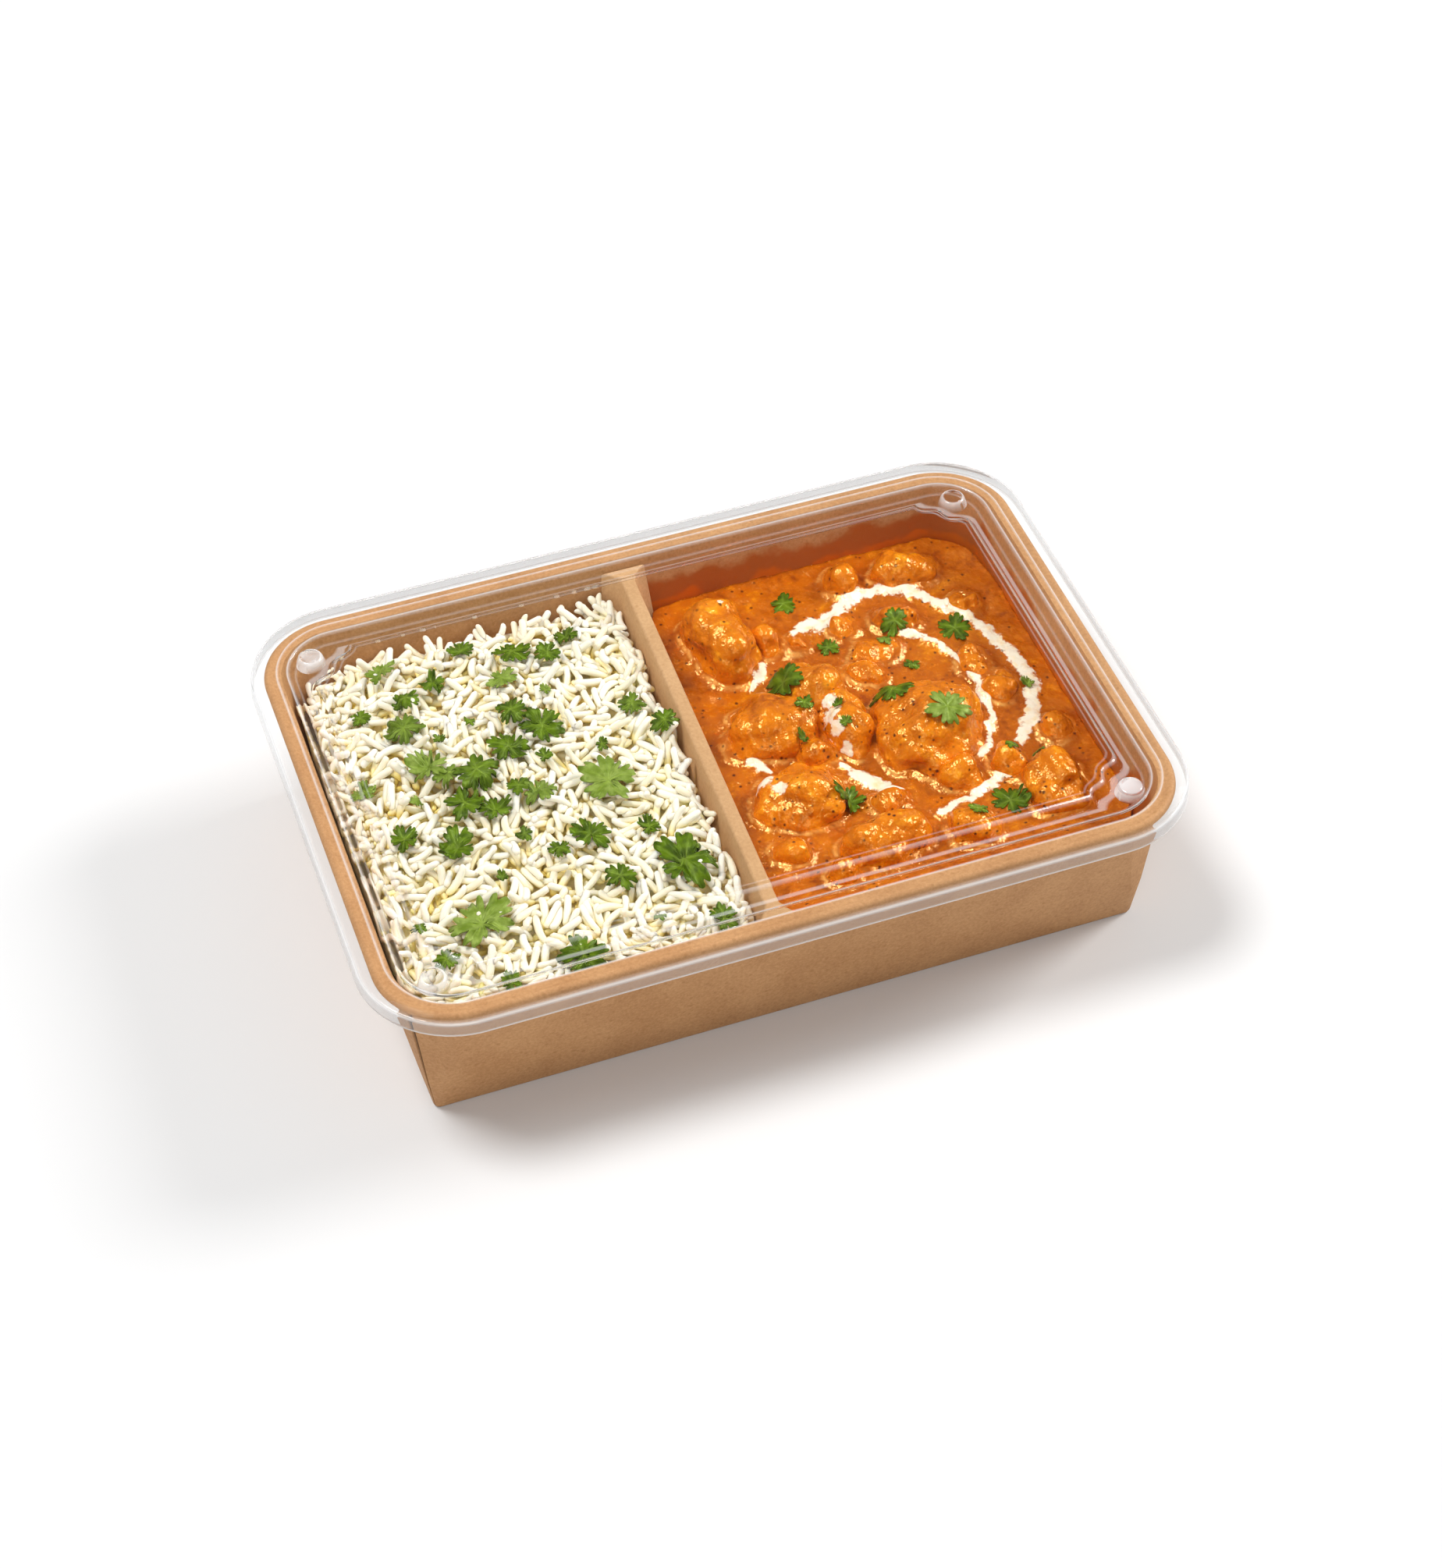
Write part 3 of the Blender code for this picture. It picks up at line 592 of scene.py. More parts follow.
def layGrains():
    # Drops grains one by one: each comes to rest on the heap as low as a stiff rod can.
    draw = random.Random(rice["seed"])
    lowX, lowY = rice["low"]
    cell = rice["cell"]
    columns, rows = rice["cells"]
    heap = np.zeros((columns, rows))
    for i in range(columns):
        for j in range(rows):
            heap[i, j] = coreHeight(lowX + (i + 0.5) * cell, lowY + (j + 0.5) * cell)
    tilts = np.linspace(-0.75, 0.75, 25)
    grains = []
    tries = 0
    while len(grains) < rice["most"] and tries < 16000:
        tries += 1
        x = draw.uniform(lowX + 1, -2.0)
        y = draw.uniform(-71, 71)
        heading = draw.uniform(0, 2 * math.pi)
        half = draw.uniform(*rice["length"]) / 2
        radius = draw.uniform(*rice["radius"])
        atWall = y > innerHalf(rice["edge"])[1] - 7 or x > dividerMiddle(y) - 8
        stands = draw.random() < rice["standingAtWall" if atWall else "standing"]
        ux, uy = math.cos(heading), math.sin(heading)
        along = np.linspace(-0.92, 0.92, 9) * half
        i = ((x + along * ux - lowX) / cell).astype(int)
        j = ((y + along * uy - lowY) / cell).astype(int)
        if i.min() < 1 or j.min() < 1 or i.max() >= columns - 1 or j.max() >= rows - 1:
            continue
        ground = heap[i, j]
        lifts = (ground[None, :] - tilts[:, None] * along[None, :]).max(axis=1)
        best = int(np.argmin(lifts))
        tilt, rest = float(tilts[best]), float(lifts[best])
        if stands:
            tilt = draw.uniform(0.35, 1.1)
            heading = draw.gauss(1.7, 0.8) if atWall else heading
            ux, uy = math.cos(heading), math.sin(heading)
            rest = float(ground.mean()) + 0.35 * half * tilt
        centre = rest + radius * (1 - rice["sink"])
        run = 1 / math.sqrt(1 + tilt * tilt)
        ends = [(x + s * half * run * ux, y + s * half * run * uy, centre + s * half * run * tilt) for s in (-1, 1)]
        if not all(insideRice(*end, radius + 0.1) for end in ends):
            continue
        if centre > riceHeight(x, y) - 0.1 + (1.6 if stands else 0):
            continue
        grains.append((x, y, centre, heading, math.atan(tilt), half, radius, draw.random(), draw.random()))
        reach = int((half + 2) / cell) + 1
        ci, cj = int((x - lowX) / cell), int((y - lowY) / cell)
        i0, i1 = max(ci - reach, 0), min(ci + reach + 1, columns)
        j0, j1 = max(cj - reach, 0), min(cj + reach + 1, rows)
        gx = lowX + (np.arange(i0, i1) + 0.5) * cell - x
        gy = lowY + (np.arange(j0, j1) + 0.5) * cell - y
        t = gx[:, None] * ux + gy[None, :] * uy
        d = -gx[:, None] * uy + gy[None, :] * ux
        inside = (np.abs(t) <= half * run) & (np.abs(d) < radius)
        top = centre + t * tilt + np.sqrt(np.maximum(radius ** 2 - d ** 2, 0))
        heap[i0:i1, j0:j1] = np.where(inside, np.maximum(heap[i0:i1, j0:j1], top), heap[i0:i1, j0:j1])
    return grains, heap


def grainMesh(name, grains, sides, rings, heap):
    shapes = [grainShape(sides, rings, bend) for bend in (0.3, 0.8, 1.3)]
    points = []
    faces = []
    tones = []
    depths = []
    base = 0
    for number, (x, y, z, heading, tilt, half, radius, tone, roll) in enumerate(grains):
        shape, shapeFaces = shapes[number % 3]
        turn = (Matrix.Rotation(heading, 3, "Z") @ Matrix.Rotation(-tilt, 3, "Y")
                @ Matrix.Rotation(roll * 2 * math.pi, 3, "X"))
        grain = (shape * np.array((half, radius, radius))) @ np.array(turn).T + np.array((x, y, z))
        points.append(grain)
        faces.extend([[base + index for index in face] for face in shapeFaces])
        base += len(shape)
        i = int((x - rice["low"][0]) / rice["cell"])
        j = int((y - rice["low"][1]) / rice["cell"])
        around = heap[max(i - 6, 0):i + 7, max(j - 6, 0):j + 7].mean()
        tones.append(np.full(len(shape), tone))
        # 0 low in the heap, for the painted gap glow, up to 1 on top.
        depths.append(np.clip((grain[:, 2] - around) / 2.4 + 1.0, 0, 1))
    points = np.concatenate(points)
    mesh = bpy.data.meshes.new(name)
    mesh.from_pydata((points * mm).tolist(), [], faces)
    carry(mesh, "tone", np.concatenate(tones))
    carry(mesh, "depth", np.concatenate(depths))
    return mesh


def makeRice():
    finish = riceFinish()
    bm = foodBlock(-1, 60, 84, rice["edge"], lambda x, y: coreHeight(x, y) + 0.4, 0.3)
    core = meshFrom(bm, "riceCore")
    carry(core, "tone", np.zeros(len(core.vertices)))
    # The core shows in the gaps and takes part of the painted glow.
    carry(core, "depth", np.full(len(core.vertices), 0.4))
    linkPiece("riceCore", core, finish, ("rice",))
    grains, heap = layGrains()
    parting = int(len(grains) * rice["underShare"])
    under, top = grains[:parting], grains[parting:]
    random.Random(rice["seed"]).shuffle(top)
    middle = len(top) // 2
    linkPiece("riceUnder", grainMesh("riceUnder", under, 6, 6, heap), finish, ("rice",))
    for name, share in (("riceGrains", top[:middle]), ("riceGrainsMore", top[middle:])):
        linkPiece(name, grainMesh(name, share, 8, 10, heap), finish, ("rice",))
    print("rice", len(grains), "grains", "top at", round(float(heap.max()), 1))
    return heap


riceHeap = makeRice()


# Cream

cream = {
    "pours": [
        [(39.7, 42.5, 1.4), (45.4, 43.8, 3.0), (51.0, 43.8, 3.4), (57.0, 48.4, 2.6), (62.8, 51.0, 2.4),
         (69.5, 51.3, 2.2), (76.1, 48.8, 2.4), (81.2, 44.9, 2.0), (85.0, 40.0, 1.8), (88.9, 34.5, 1.6),
         (92.2, 27.8, 1.8), (94.1, 21.0, 2.6), (96.2, 14.9, 2.2), (97.2, 7.2, 2.2), (97.2, 0.0, 2.6),
         (94.6, -6.8, 2.2), (90.4, -14.3, 2.8), (85.4, -20.1, 1.8)],
        [(70.1, 31.3, 1.2), (74.3, 29.0, 1.7), (77.5, 25.2, 1.5), (80.3, 19.5, 1.3), (81.6, 12.4, 1.2),
         (82.6, 6.0, 1.2), (82.4, -0.4, 1.3), (81.0, -8.2, 1.3), (77.7, -15.9, 1.3), (72.6, -21.6, 1.2)],
        [(75.0, -30.6, 2.2), (69.7, -33.5, 1.9), (63.6, -36.2, 1.6), (58.0, -36.6, 1.8), (53.2, -38.4, 1.3)],
        [(33.9, -11.7, 1.0), (36.5, -16.4, 2.0), (40.0, -21.4, 2.6), (43.2, -24.4, 2.0), (46.9, -26.4, 1.0)],
        [(26.6, 32.0, 1.6), (23.9, 27.7, 1.7), (20.6, 25.1, 1.0)],
        [(10.2, -1.7, 1.3), (12.8, -4.5, 1.8), (13.9, -7.4, 1.0)],
    ],
    "rise": 0.7,
    "dabs": [(9.8, -9.7, 2.8), (10.8, -15.6, 3.0), (13.2, -20.6, 2.0), (37.5, 6.6, 2.2), (37.0, 2.0, 2.6),
             (37.0, -3.0, 2.2), (36.8, -8.5, 1.8), (24.5, 26.5, 1.4), (57.5, 33.0, 1.3), (20.5, 50.5, 1.0)],
}


def creamDabs(points):
    best = np.full(len(points), 9.0)
    for x, y, reach in cream["dabs"]:
        best = np.minimum(best, np.hypot(points[:, 0] - x, points[:, 1] - y) / reach)
    return np.clip((1.4 - best) / 0.8, 0, 1)


def creamCover(points):
    # 1 in the middle of a pour, 0 away from it, for an array of points.
    x, y = points[:, 0].copy(), points[:, 1].copy()
    wobble = np.array([[noise.noise(Vector((a / 3.2, b / 3.2, level))) for level in (4.3, 8.7)]
                       for a, b in zip(x, y)])
    x += wobble[:, 0] * 1.1
    y += wobble[:, 1] * 1.1
    best = np.full(len(x), 9.0)
    for pour in cream["pours"]:
        for (ax, ay, ar), (bx, by, br) in zip(pour, pour[1:]):
            dx, dy = bx - ax, by - ay
            t = np.clip(((x - ax) * dx + (y - ay) * dy) / (dx * dx + dy * dy), 0, 1)
            reach = ar + (br - ar) * t
            gap = np.hypot(x - ax - t * dx, y - ay - t * dy)
            best = np.minimum(best, gap / reach)
    return np.clip((1.6 - best) / 1.2, 0, 1)


# Chicken

chicken = {
    "voxel": 0.6,
    "smoothing": 8,
    "lumps": ((10.0, 2.0), (5.0, 1.3), (2.4, 0.35)),
    "chunks": ((10.0, 0.8),),
    "smallest": 12.0,
    "facets": 9,
    "facetAt": 0.86,
    "flatness": 0.9,
}


def knobs(points, width):
    # Rounded knobs with creases between them, from about -0.5 in a crease to 0.5 on a knob.
    values = []
    for point in points:
        near, next_ = noise.voronoi(Vector(point) / width)[0][:2]
        values.append(min(next_ - near, 0.6) / 0.6 - 0.5)
    return np.array(values)


def facetted(points, draw):
    # Flattens the rounded form on a few sides, as knife cuts leave it.
    middle = points.mean(axis=0)
    if np.ptp(points, axis=0).max() < chicken["smallest"]:
        return points
    for number in range(chicken["facets"]):
        heading = 2 * math.pi * (number * 0.618 + draw.random() * 0.2)
        lift = draw.uniform(0.1, 0.95)
        flat = math.sqrt(1 - lift * lift)
        way = np.array((flat * math.cos(heading), flat * math.sin(heading), lift))
        reach = (points - middle) @ way
        over = np.maximum(reach - reach.max() * chicken["facetAt"], 0)
        points = points - way * (over * chicken["flatness"])[:, None]
    return points


def sauceFinish(name, onMeat):
    gravy = Finish(name, specular=0.9, specularTint=(1, 0.66, 0.24, 1), subsurface=0.06, subsurfaceReach=(1.0, 0.4, 0.1),
                   subsurfaceScale=0.0008)
    broad = gravy.mottle(9, 4, (1, 1, 1), 0.6, 0.6)
    fine = gravy.mottle(1.8, 4, (1, 1, 1), 0.6)
    tone = (broad - 0.5) * 1.3 + (fine - 0.5) * 0.8 + 0.5
    deep, middle, bright = paint(142, 58, 0), paint(188, 94, 0), paint(222, 130, 0)
    if onMeat:
        deep, middle, bright = paint(164, 76, 0), paint(218, 118, 0), paint(252, 166, 22)
    ground = gravy.blend(tone.ramp(0.1, 0.5), deep, middle)
    ground = gravy.blend(tone.ramp(0.5, 0.95), ground, bright)
    # Painted shade: darker in the chicken's creases and in a ring of sauce around each piece.
    ground = gravy.blend(gravy.carried("hollow"), ground, paint(142, 54, 0))
    # Painted highlight: a pale creamy line where the sauce rises against the chicken, on the sides the key lamp lights.
    litLip = gravy.carried("litLip") * gravy.mottle(4, 2).ramp(0.35, 0.6)
    ground = gravy.blend(litLip * 0.75, ground, paint(255, 196, 104))
    specks = 1 - gravy.cells(2.5).ramp(0.1, 0.28)
    ground = gravy.blend(specks * gravy.mottle(6, 2).ramp(0.46, 0.56), ground, paint(88, 30, 2))
    cover = gravy.carried("cream")
    edge = (cover + (gravy.mottle(2.6, 5, (1, 1, 1), 0.7) - 0.5) * 2.1).ramp(0.46, 0.8)
    milk = gravy.blend(gravy.mottle(3, 3).ramp(0.45, 0.85), paint(252, 243, 220), paint(248, 212, 146))
    gravy.drive("colour", gravy.blend(edge, ground, milk))
    gravy.drive("roughness", 0.12 + fine * 0.26)
    curds = gravy.mottle(4.0, 3, (1, 1, 1), 0.5)
    grit = gravy.mottle(1.5, 2)
    gravy.relief(curds + grit * 0.45, 0.9 if onMeat else 0.55, 1.0)
    return gravy


def softCopy(node, voxel, smoothing):
    # The solid's own form, remeshed evenly and smoothed.
    bm = bmesh.new()
    bm.from_mesh(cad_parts[node].data)
    bmesh.ops.remove_doubles(bm, verts=bm.verts, dist=0.00001)
    bmesh.ops.recalc_face_normals(bm, faces=bm.faces)
    mesh = bpy.data.meshes.new(node)
    bm.to_mesh(mesh)
    bm.free()
    item = bpy.data.objects.new("copy", mesh)
    bpy.context.scene.collection.objects.link(item)
    remesh = item.modifiers.new("even", "REMESH")
    remesh.mode = "VOXEL"
    remesh.voxel_size = voxel * mm
    smooth = item.modifiers.new("soft", "SMOOTH")
    smooth.factor = 0.5
    smooth.iterations = smoothing
    bpy.context.view_layer.update()
    graph = bpy.context.evaluated_depsgraph_get()
    result = bpy.data.meshes.new_from_object(item.evaluated_get(graph))
    bpy.data.objects.remove(item)
    return result


def makeChicken():
    finish = sauceFinish("sauceOnMeat", True)
    names = sorted(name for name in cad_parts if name.startswith("chicken"))
    meshes = []
    for name in names:
        mesh = softCopy(name, chicken["voxel"], chicken["smoothing"])
        points = facetted(readPoints(mesh), random.Random(name))
        writePoints(mesh, points)
        normals = readNormals(mesh)
        push = np.zeros(len(points))
        for width, height in chicken["lumps"]:
            push += height * np.array([noise.noise(Vector(p) / width + Vector((width, 0, 0))) for p in points])
        crease = np.zeros(len(points))
        for width, height in chicken["chunks"]:
            knob = knobs(points, width)
            push += height * knob * 0.8
            crease = np.maximum(crease, (-knob - 0.25) * 3 * (width > 4))
        writePoints(mesh, points + normals * (push + 1.3)[:, None])
        carry(mesh, "cream", creamDabs(points))
        # Painted shade in the creases between the knobs.
        carry(mesh, "hollow", np.clip(crease, 0, 1) * 0.4)
        carry(mesh, "litLip", np.zeros(len(points)))
        linkPiece("coated_" + name, mesh, finish, (name,))
        meshes.append(mesh)
    print("chicken", sum(len(mesh.polygons) for mesh in meshes), "faces")
    return meshes


chickenMeshes = makeChicken()


# Sauce

sauce = {
    "level": 32.0,
    "grid": (150, 196),
    "bumps": ((14, 0.7), (7, 0.75), (3.2, 0.3)),
    "climb": 1.1,
}


def sauceHeight(x, y):
    return sauce["level"] + sum(height * noise.noise(Vector((x / width, y / width, width)))
                                for width, height in sauce["bumps"])


def makeSauce(meats):
    settings = sauce
    bm = foodBlock(1, *settings["grid"], settings["level"], sauceHeight, 0.05)
    mesh = meshFrom(bm, "sauce")
    points = readPoints(mesh)
    top = points[:, 2] > 20
    near = treeOf(meats)
    away = np.full(len(points), 50.0)
    litSide = np.zeros(len(points))
    for index in np.nonzero(top)[0]:
        place, normal, face, gap = near.find_nearest(Vector(points[index]), 8.0)
        if place is not None:
            away[index] = gap
            # Larger where the chicken faces left, towards the key lamp, for the painted highlight.
            litSide[index] = max(0.0, min(1.0, 0.4 - 0.8 * normal.x - 0.2 * normal.y))
    climb = settings["climb"] * np.exp(-(away / 1.1) ** 2)
    cover = creamCover(points)
    points[:, 2] += np.where(top, climb + cream["rise"] * cover, 0)
    writePoints(mesh, points)
    carry(mesh, "cream", cover * top)
    # Painted shade in a ring of sauce around each chicken piece.
    carry(mesh, "hollow", np.exp(-((away - 1.8) / 1.4) ** 2) * 0.3)
    # Painted highlight line on the lit side of each piece's sauce rise.
    carry(mesh, "litLip", np.exp(-((away - 0.8) / 0.35) ** 2) * litSide * top)
    linkPiece("sauce", mesh, sauceFinish("sauce", False), ("sauce",))
    print("sauce")
    return mesh


sauceMesh = makeSauce(chickenMeshes)


# Coriander

leaves = {
    "rice": [
        (-42.3, 51.4, 4.9, 20), (-33.1, 46.5, 3.7, 200), (-76.3, 41.6, 3.7, 40), (-79.6, 31.0, 4.9, 120),
        (-67.3, 46.6, 3.4, 300), (-48.4, 41.1, 3.7, 330), (-49.8, 27.0, 4.0, 0), (-43.2, 19.7, 5.3, 250),
        (-54.3, 15.0, 4.9, 75), (-77.3, 14.6, 5.1, 160), (-65.6, 7.8, 5.7, 300), (-72.0, -2.6, 5.1, 20),
        (-64.6, -6.7, 4.0, 95), (-51.2, -4.7, 4.6, 210), (-32.4, -6.9, 7.1, 140), (-90.6, -7.8, 3.7, 30),
        (-78.2, -16.7, 4.9, 170), (-43.3, -25.0, 4.9, 80), (-22.5, -42.1, 7.5, 350), (-40.5, -42.4, 3.7, 60),
        (-79.6, -44.5, 7.5, 100), (-57.8, -63.3, 5.5, 15),
    ],
    "sauce": [
        (41.8, 55.6, 3.9, 0), (28.3, 19.2, 5.0, 30), (55.9, 4.5, 5.0, 15), (65.5, -12.0, 5.5, 330),
        (85.1, 28.7, 4.6, 60), (68.5, 34.6, 3.5, 100), (47.5, 33.3, 3.0, 80), (31.1, -25.7, 4.2, 200),
        (73.0, -40.7, 4.4, 45),
    ],
    "riceBits": [
        (-95.4, -39.4, 1.8, 40), (-27.3, -26.5, 2.6, 10), (-17.0, 19.1, 3.4, 200), (-79.5, 57.0, 3.6, 90),
        (-25.3, 54.6, 3.4, 60), (-55.7, 58.2, 3.2, 10), (-10.9, 8.3, 3.6, 120), (-89.5, 42.2, 2.4, 0),
        (-96.2, 14.4, 3.0, 80), (-59.8, -17.9, 2.2, 150), (-52.9, -27.2, 2.8, 30), (-61.6, 28.2, 1.5, 70),
        (-18.7, -62.8, 3.4, 20), (-77.7, -64.4, 2.6, 100), (-91.8, -53.0, 3.0, 220), (-38.0, 33.0, 1.5, 45),
        (-72.0, 22.0, 1.4, 130), (-30.0, 6.0, 1.7, 300), (-84.0, 4.0, 1.6, 210), (-46.0, 8.0, 2.2, 15),
        (-35.0, -58.0, 1.6, 60), (-70.0, -31.0, 1.5, 330), (-56.5, -2.0, 3.2, 250), (-73.5, 9.5, 3.4, 190),
    ],
    "sauceBits": [
        (67.8, 19.0, 2.0, 20), (79.6, -25.8, 1.8, 90), (95.5, -0.5, 1.6, 50), (61.2, -46.0, 2.4, 160),
        (29.9, 7.0, 2.6, 330), (63.5, 30.0, 2.0, 70), (38.6, 3.5, 1.4, 10), (38.4, -4.0, 1.5, 100),
        (26.0, -3.0, 1.5, 200), (86.0, -30.0, 1.3, 30),
    ],
    "stalks": [
        [(-42.3, 51.4), (-45.0, 47.5), (-48.4, 41.1), (-47.0, 36.0)], [(-33.1, 46.5), (-38.0, 48.0), (-42.3, 48.5)],
        [(-72.0, -2.6), (-66.0, 2.5), (-65.6, 7.8)], [(-54.3, 15.0), (-60.0, 11.0), (-65.6, 7.8), (-70.0, 3.0)],
        [(-64.6, -6.7), (-62.0, -14.0), (-63.5, -21.0)], [(-51.2, -4.7), (-56.0, 2.0), (-62.0, 6.0)],
        [(-79.6, 31.0), (-77.5, 36.0), (-76.3, 41.6)], [(-78.2, -16.7), (-74.0, -22.0), (-71.5, -28.0)],
    ],
    "stalkRadius": 0.32,
    "segments": 150,
    "rings": (0.78, 0.52, 0.26),
    "thickness": 0.22,
    "seed": 3,
}


def leafFinish():
    green = Finish("corianderLeaf", roughness=0.4, specular=0.25, specularTint=(0.8, 1, 0.4, 1), subsurface=0.1,
                   subsurfaceReach=(0.8, 1.0, 0.2), subsurfaceScale=0.0006)
    tone = green.carried("tone")
    vein = green.carried("vein")
    blotch = green.mottle(2.6, 3).ramp(0.3, 0.7)
    dark = green.blend(blotch, paint(48, 68, 0), paint(88, 114, 0))
    pale = green.blend(blotch, paint(98, 120, 28), paint(140, 158, 74))
    ground = green.blend(tone.ramp(0.62, 0.9), dark, pale)
    green.drive("colour", green.blend(vein * 0.5, ground, paint(140, 164, 56)))
    green.relief(green.mottle(0.8, 3) - vein * 0.9, 0.2, 0.7)
    return green


def leafReach(angle, radius, wildness):
    # Five lobes with blunt teeth, parted by narrow clefts, and a wedge towards the stem.
    fifth = 2 * math.pi / 5
    within = (angle + fifth / 2) % fifth - fifth / 2
    cleft = 0.5 * math.exp(-((abs(within) - fifth / 2) / 0.13) ** 2)
    notch = 0.2 * math.exp(-((abs(within) - 0.22) / 0.07) ** 2)
    stem = 0.3 * math.exp(-((abs(angle) - math.pi) / 0.35) ** 2)
    uneven = 1 + 0.1 * math.sin(2 * angle + wildness) + 0.04 * math.sin(7 * angle + wildness)
    return radius * 1.16 * uneven * (1 - cleft - notch - stem)


def makeLeaf(bm, leaf, heightAt, draw, layers):
    x, y, radius, turn = leaf
    heading = math.radians(turn)
    wildness = draw.uniform(0, 6)
    waves = (draw.uniform(0, 6), draw.uniform(0.1, 0.5), draw.uniform(-0.4, 0.7))
    tone = draw.random()
    start = len(bm.verts)
    made = bmesh.ops.create_circle(bm, cap_ends=False, segments=leaves["segments"], radius=1.0)["verts"]
    whole = []
    plan = {}
    for vertex in made:
        angle = math.atan2(vertex.co.y, vertex.co.x)
        plan[vertex] = (angle, 1.0)
    ring = list({edge for vertex in made for edge in vertex.link_edges})
    whole.extend(made)
    current = set(made)
    for share in leaves["rings"]:
        grown = bmesh.ops.extrude_edge_only(bm, edges=ring)["geom"]
        fresh = {item for item in grown if isinstance(item, bmesh.types.BMVert)}
        for vertex in fresh:
            parent = next(edge.other_vert(vertex) for edge in vertex.link_edges
                          if edge.other_vert(vertex) not in fresh)
            plan[vertex] = (plan[parent][0], share)
        ring = [edge for edge in {edge for vertex in fresh for edge in vertex.link_edges}
                if edge.verts[0] in fresh and edge.verts[1] in fresh]
        whole.extend(fresh)
    cap = bmesh.ops.contextual_create(bm, geom=ring)["faces"]
    bmesh.ops.poke(bm, faces=cap)
    for vertex in bm.verts:
        if vertex not in plan and vertex not in layers["done"]:
            plan[vertex] = (0.0, 0.0)
            whole.append(vertex)
    for vertex in whole:
        angle, share = plan[vertex]
        reach = leafReach(angle, radius, wildness) * share
        reach = reach * share ** 0.5 + radius * 0.55 * share * (1 - share ** 0.5)
        px = x + reach * math.cos(angle + heading)
        py = y + reach * math.sin(angle + heading)
        out = reach / radius
        lift = waves[1] * math.sin(3 * angle + waves[0]) * out ** 2 + waves[2] * out ** 2
        peak = (angle * 5 / (2 * math.pi) + 0.5) % 1.0 - 0.5
        vein = math.exp(-((peak * 2 * math.pi / 5 * reach) / 0.35) ** 2) * (0.3 + 0.7 * (1 - out))
        vertex.co = Vector((px, py, heightAt(px, py) + 0.25 + lift - 0.12 * vein))
        layers["tone"][vertex] = tone
        layers["vein"][vertex] = vein
    layers["done"].update(whole)


def makeStalk(bm, path, heightAt, layers):
    radius = leaves["stalkRadius"]
    places = [Vector((x, y, heightAt(x, y) + 0.3)) for x, y in path]
    for start, end in zip(places, places[1:]):
        turn = (end - start).to_track_quat("Z", "Y").to_matrix().to_4x4()
        turn.translation = (start + end) / 2
        made = bmesh.ops.create_cone(bm, cap_ends=True, segments=8, radius1=radius, radius2=radius * 0.85,
                                     depth=(end - start).length + radius, matrix=turn)["verts"]
        for vertex in made:
            layers["tone"][vertex] = 0.9
            layers["vein"][vertex] = 0.4
        layers["done"].update(made)


def smoothedHeap(x, y):
    i = int((x - rice["low"][0]) / rice["cell"])
    j = int((y - rice["low"][1]) / rice["cell"])
    patch = riceHeap[max(i - 5, 0):i + 6, max(j - 5, 0):j + 6]
    return float(0.75 * patch.max() + 0.25 * patch.mean())


def makeLeaves():
    finish = leafFinish()
    draw = random.Random(leaves["seed"])
    wet = treeOf(chickenMeshes + [sauceMesh])

    def overSauce(x, y):
        total = []
        for dx, dy in ((0, 0), (1.6, 0), (-1.6, 0), (0, 1.6), (0, -1.6)):
            hit = wet.ray_cast(Vector((x + dx, y + dy, 90)), Vector((0, 0, -1)))[0]
            if hit is not None:
                total.append(hit.z)
        return 0.5 * max(total) + 0.5 * sum(total) / len(total)

    for kind, heightAt in (("rice", smoothedHeap), ("sauce", overSauce)):
        bm = bmesh.new()
        layers = {"tone": {}, "vein": {}, "done": set()}
        for leaf in leaves[kind] + leaves[kind + "Bits"]:
            makeLeaf(bm, leaf, heightAt, draw, layers)
        tones = [layers["tone"][vertex] for vertex in bm.verts]
        veins = [layers["vein"][vertex] for vertex in bm.verts]
        bmesh.ops.recalc_face_normals(bm, faces=bm.faces)
        mesh = meshFrom(bm, kind + "Leaves")
        carry(mesh, "tone", tones)
        carry(mesh, "vein", veins)
        nodes = ["%s_leaf_%02d" % (kind, number + 1) for number in range(len(leaves[kind]))]
        piece = linkPiece(kind + "Leaves", mesh, finish, nodes)
        thick = piece.modifiers.new("thickness", "SOLIDIFY")
        thick.thickness = leaves["thickness"] * mm
        thick.offset = 1
    print("leaves")


makeLeaves()


# Lid

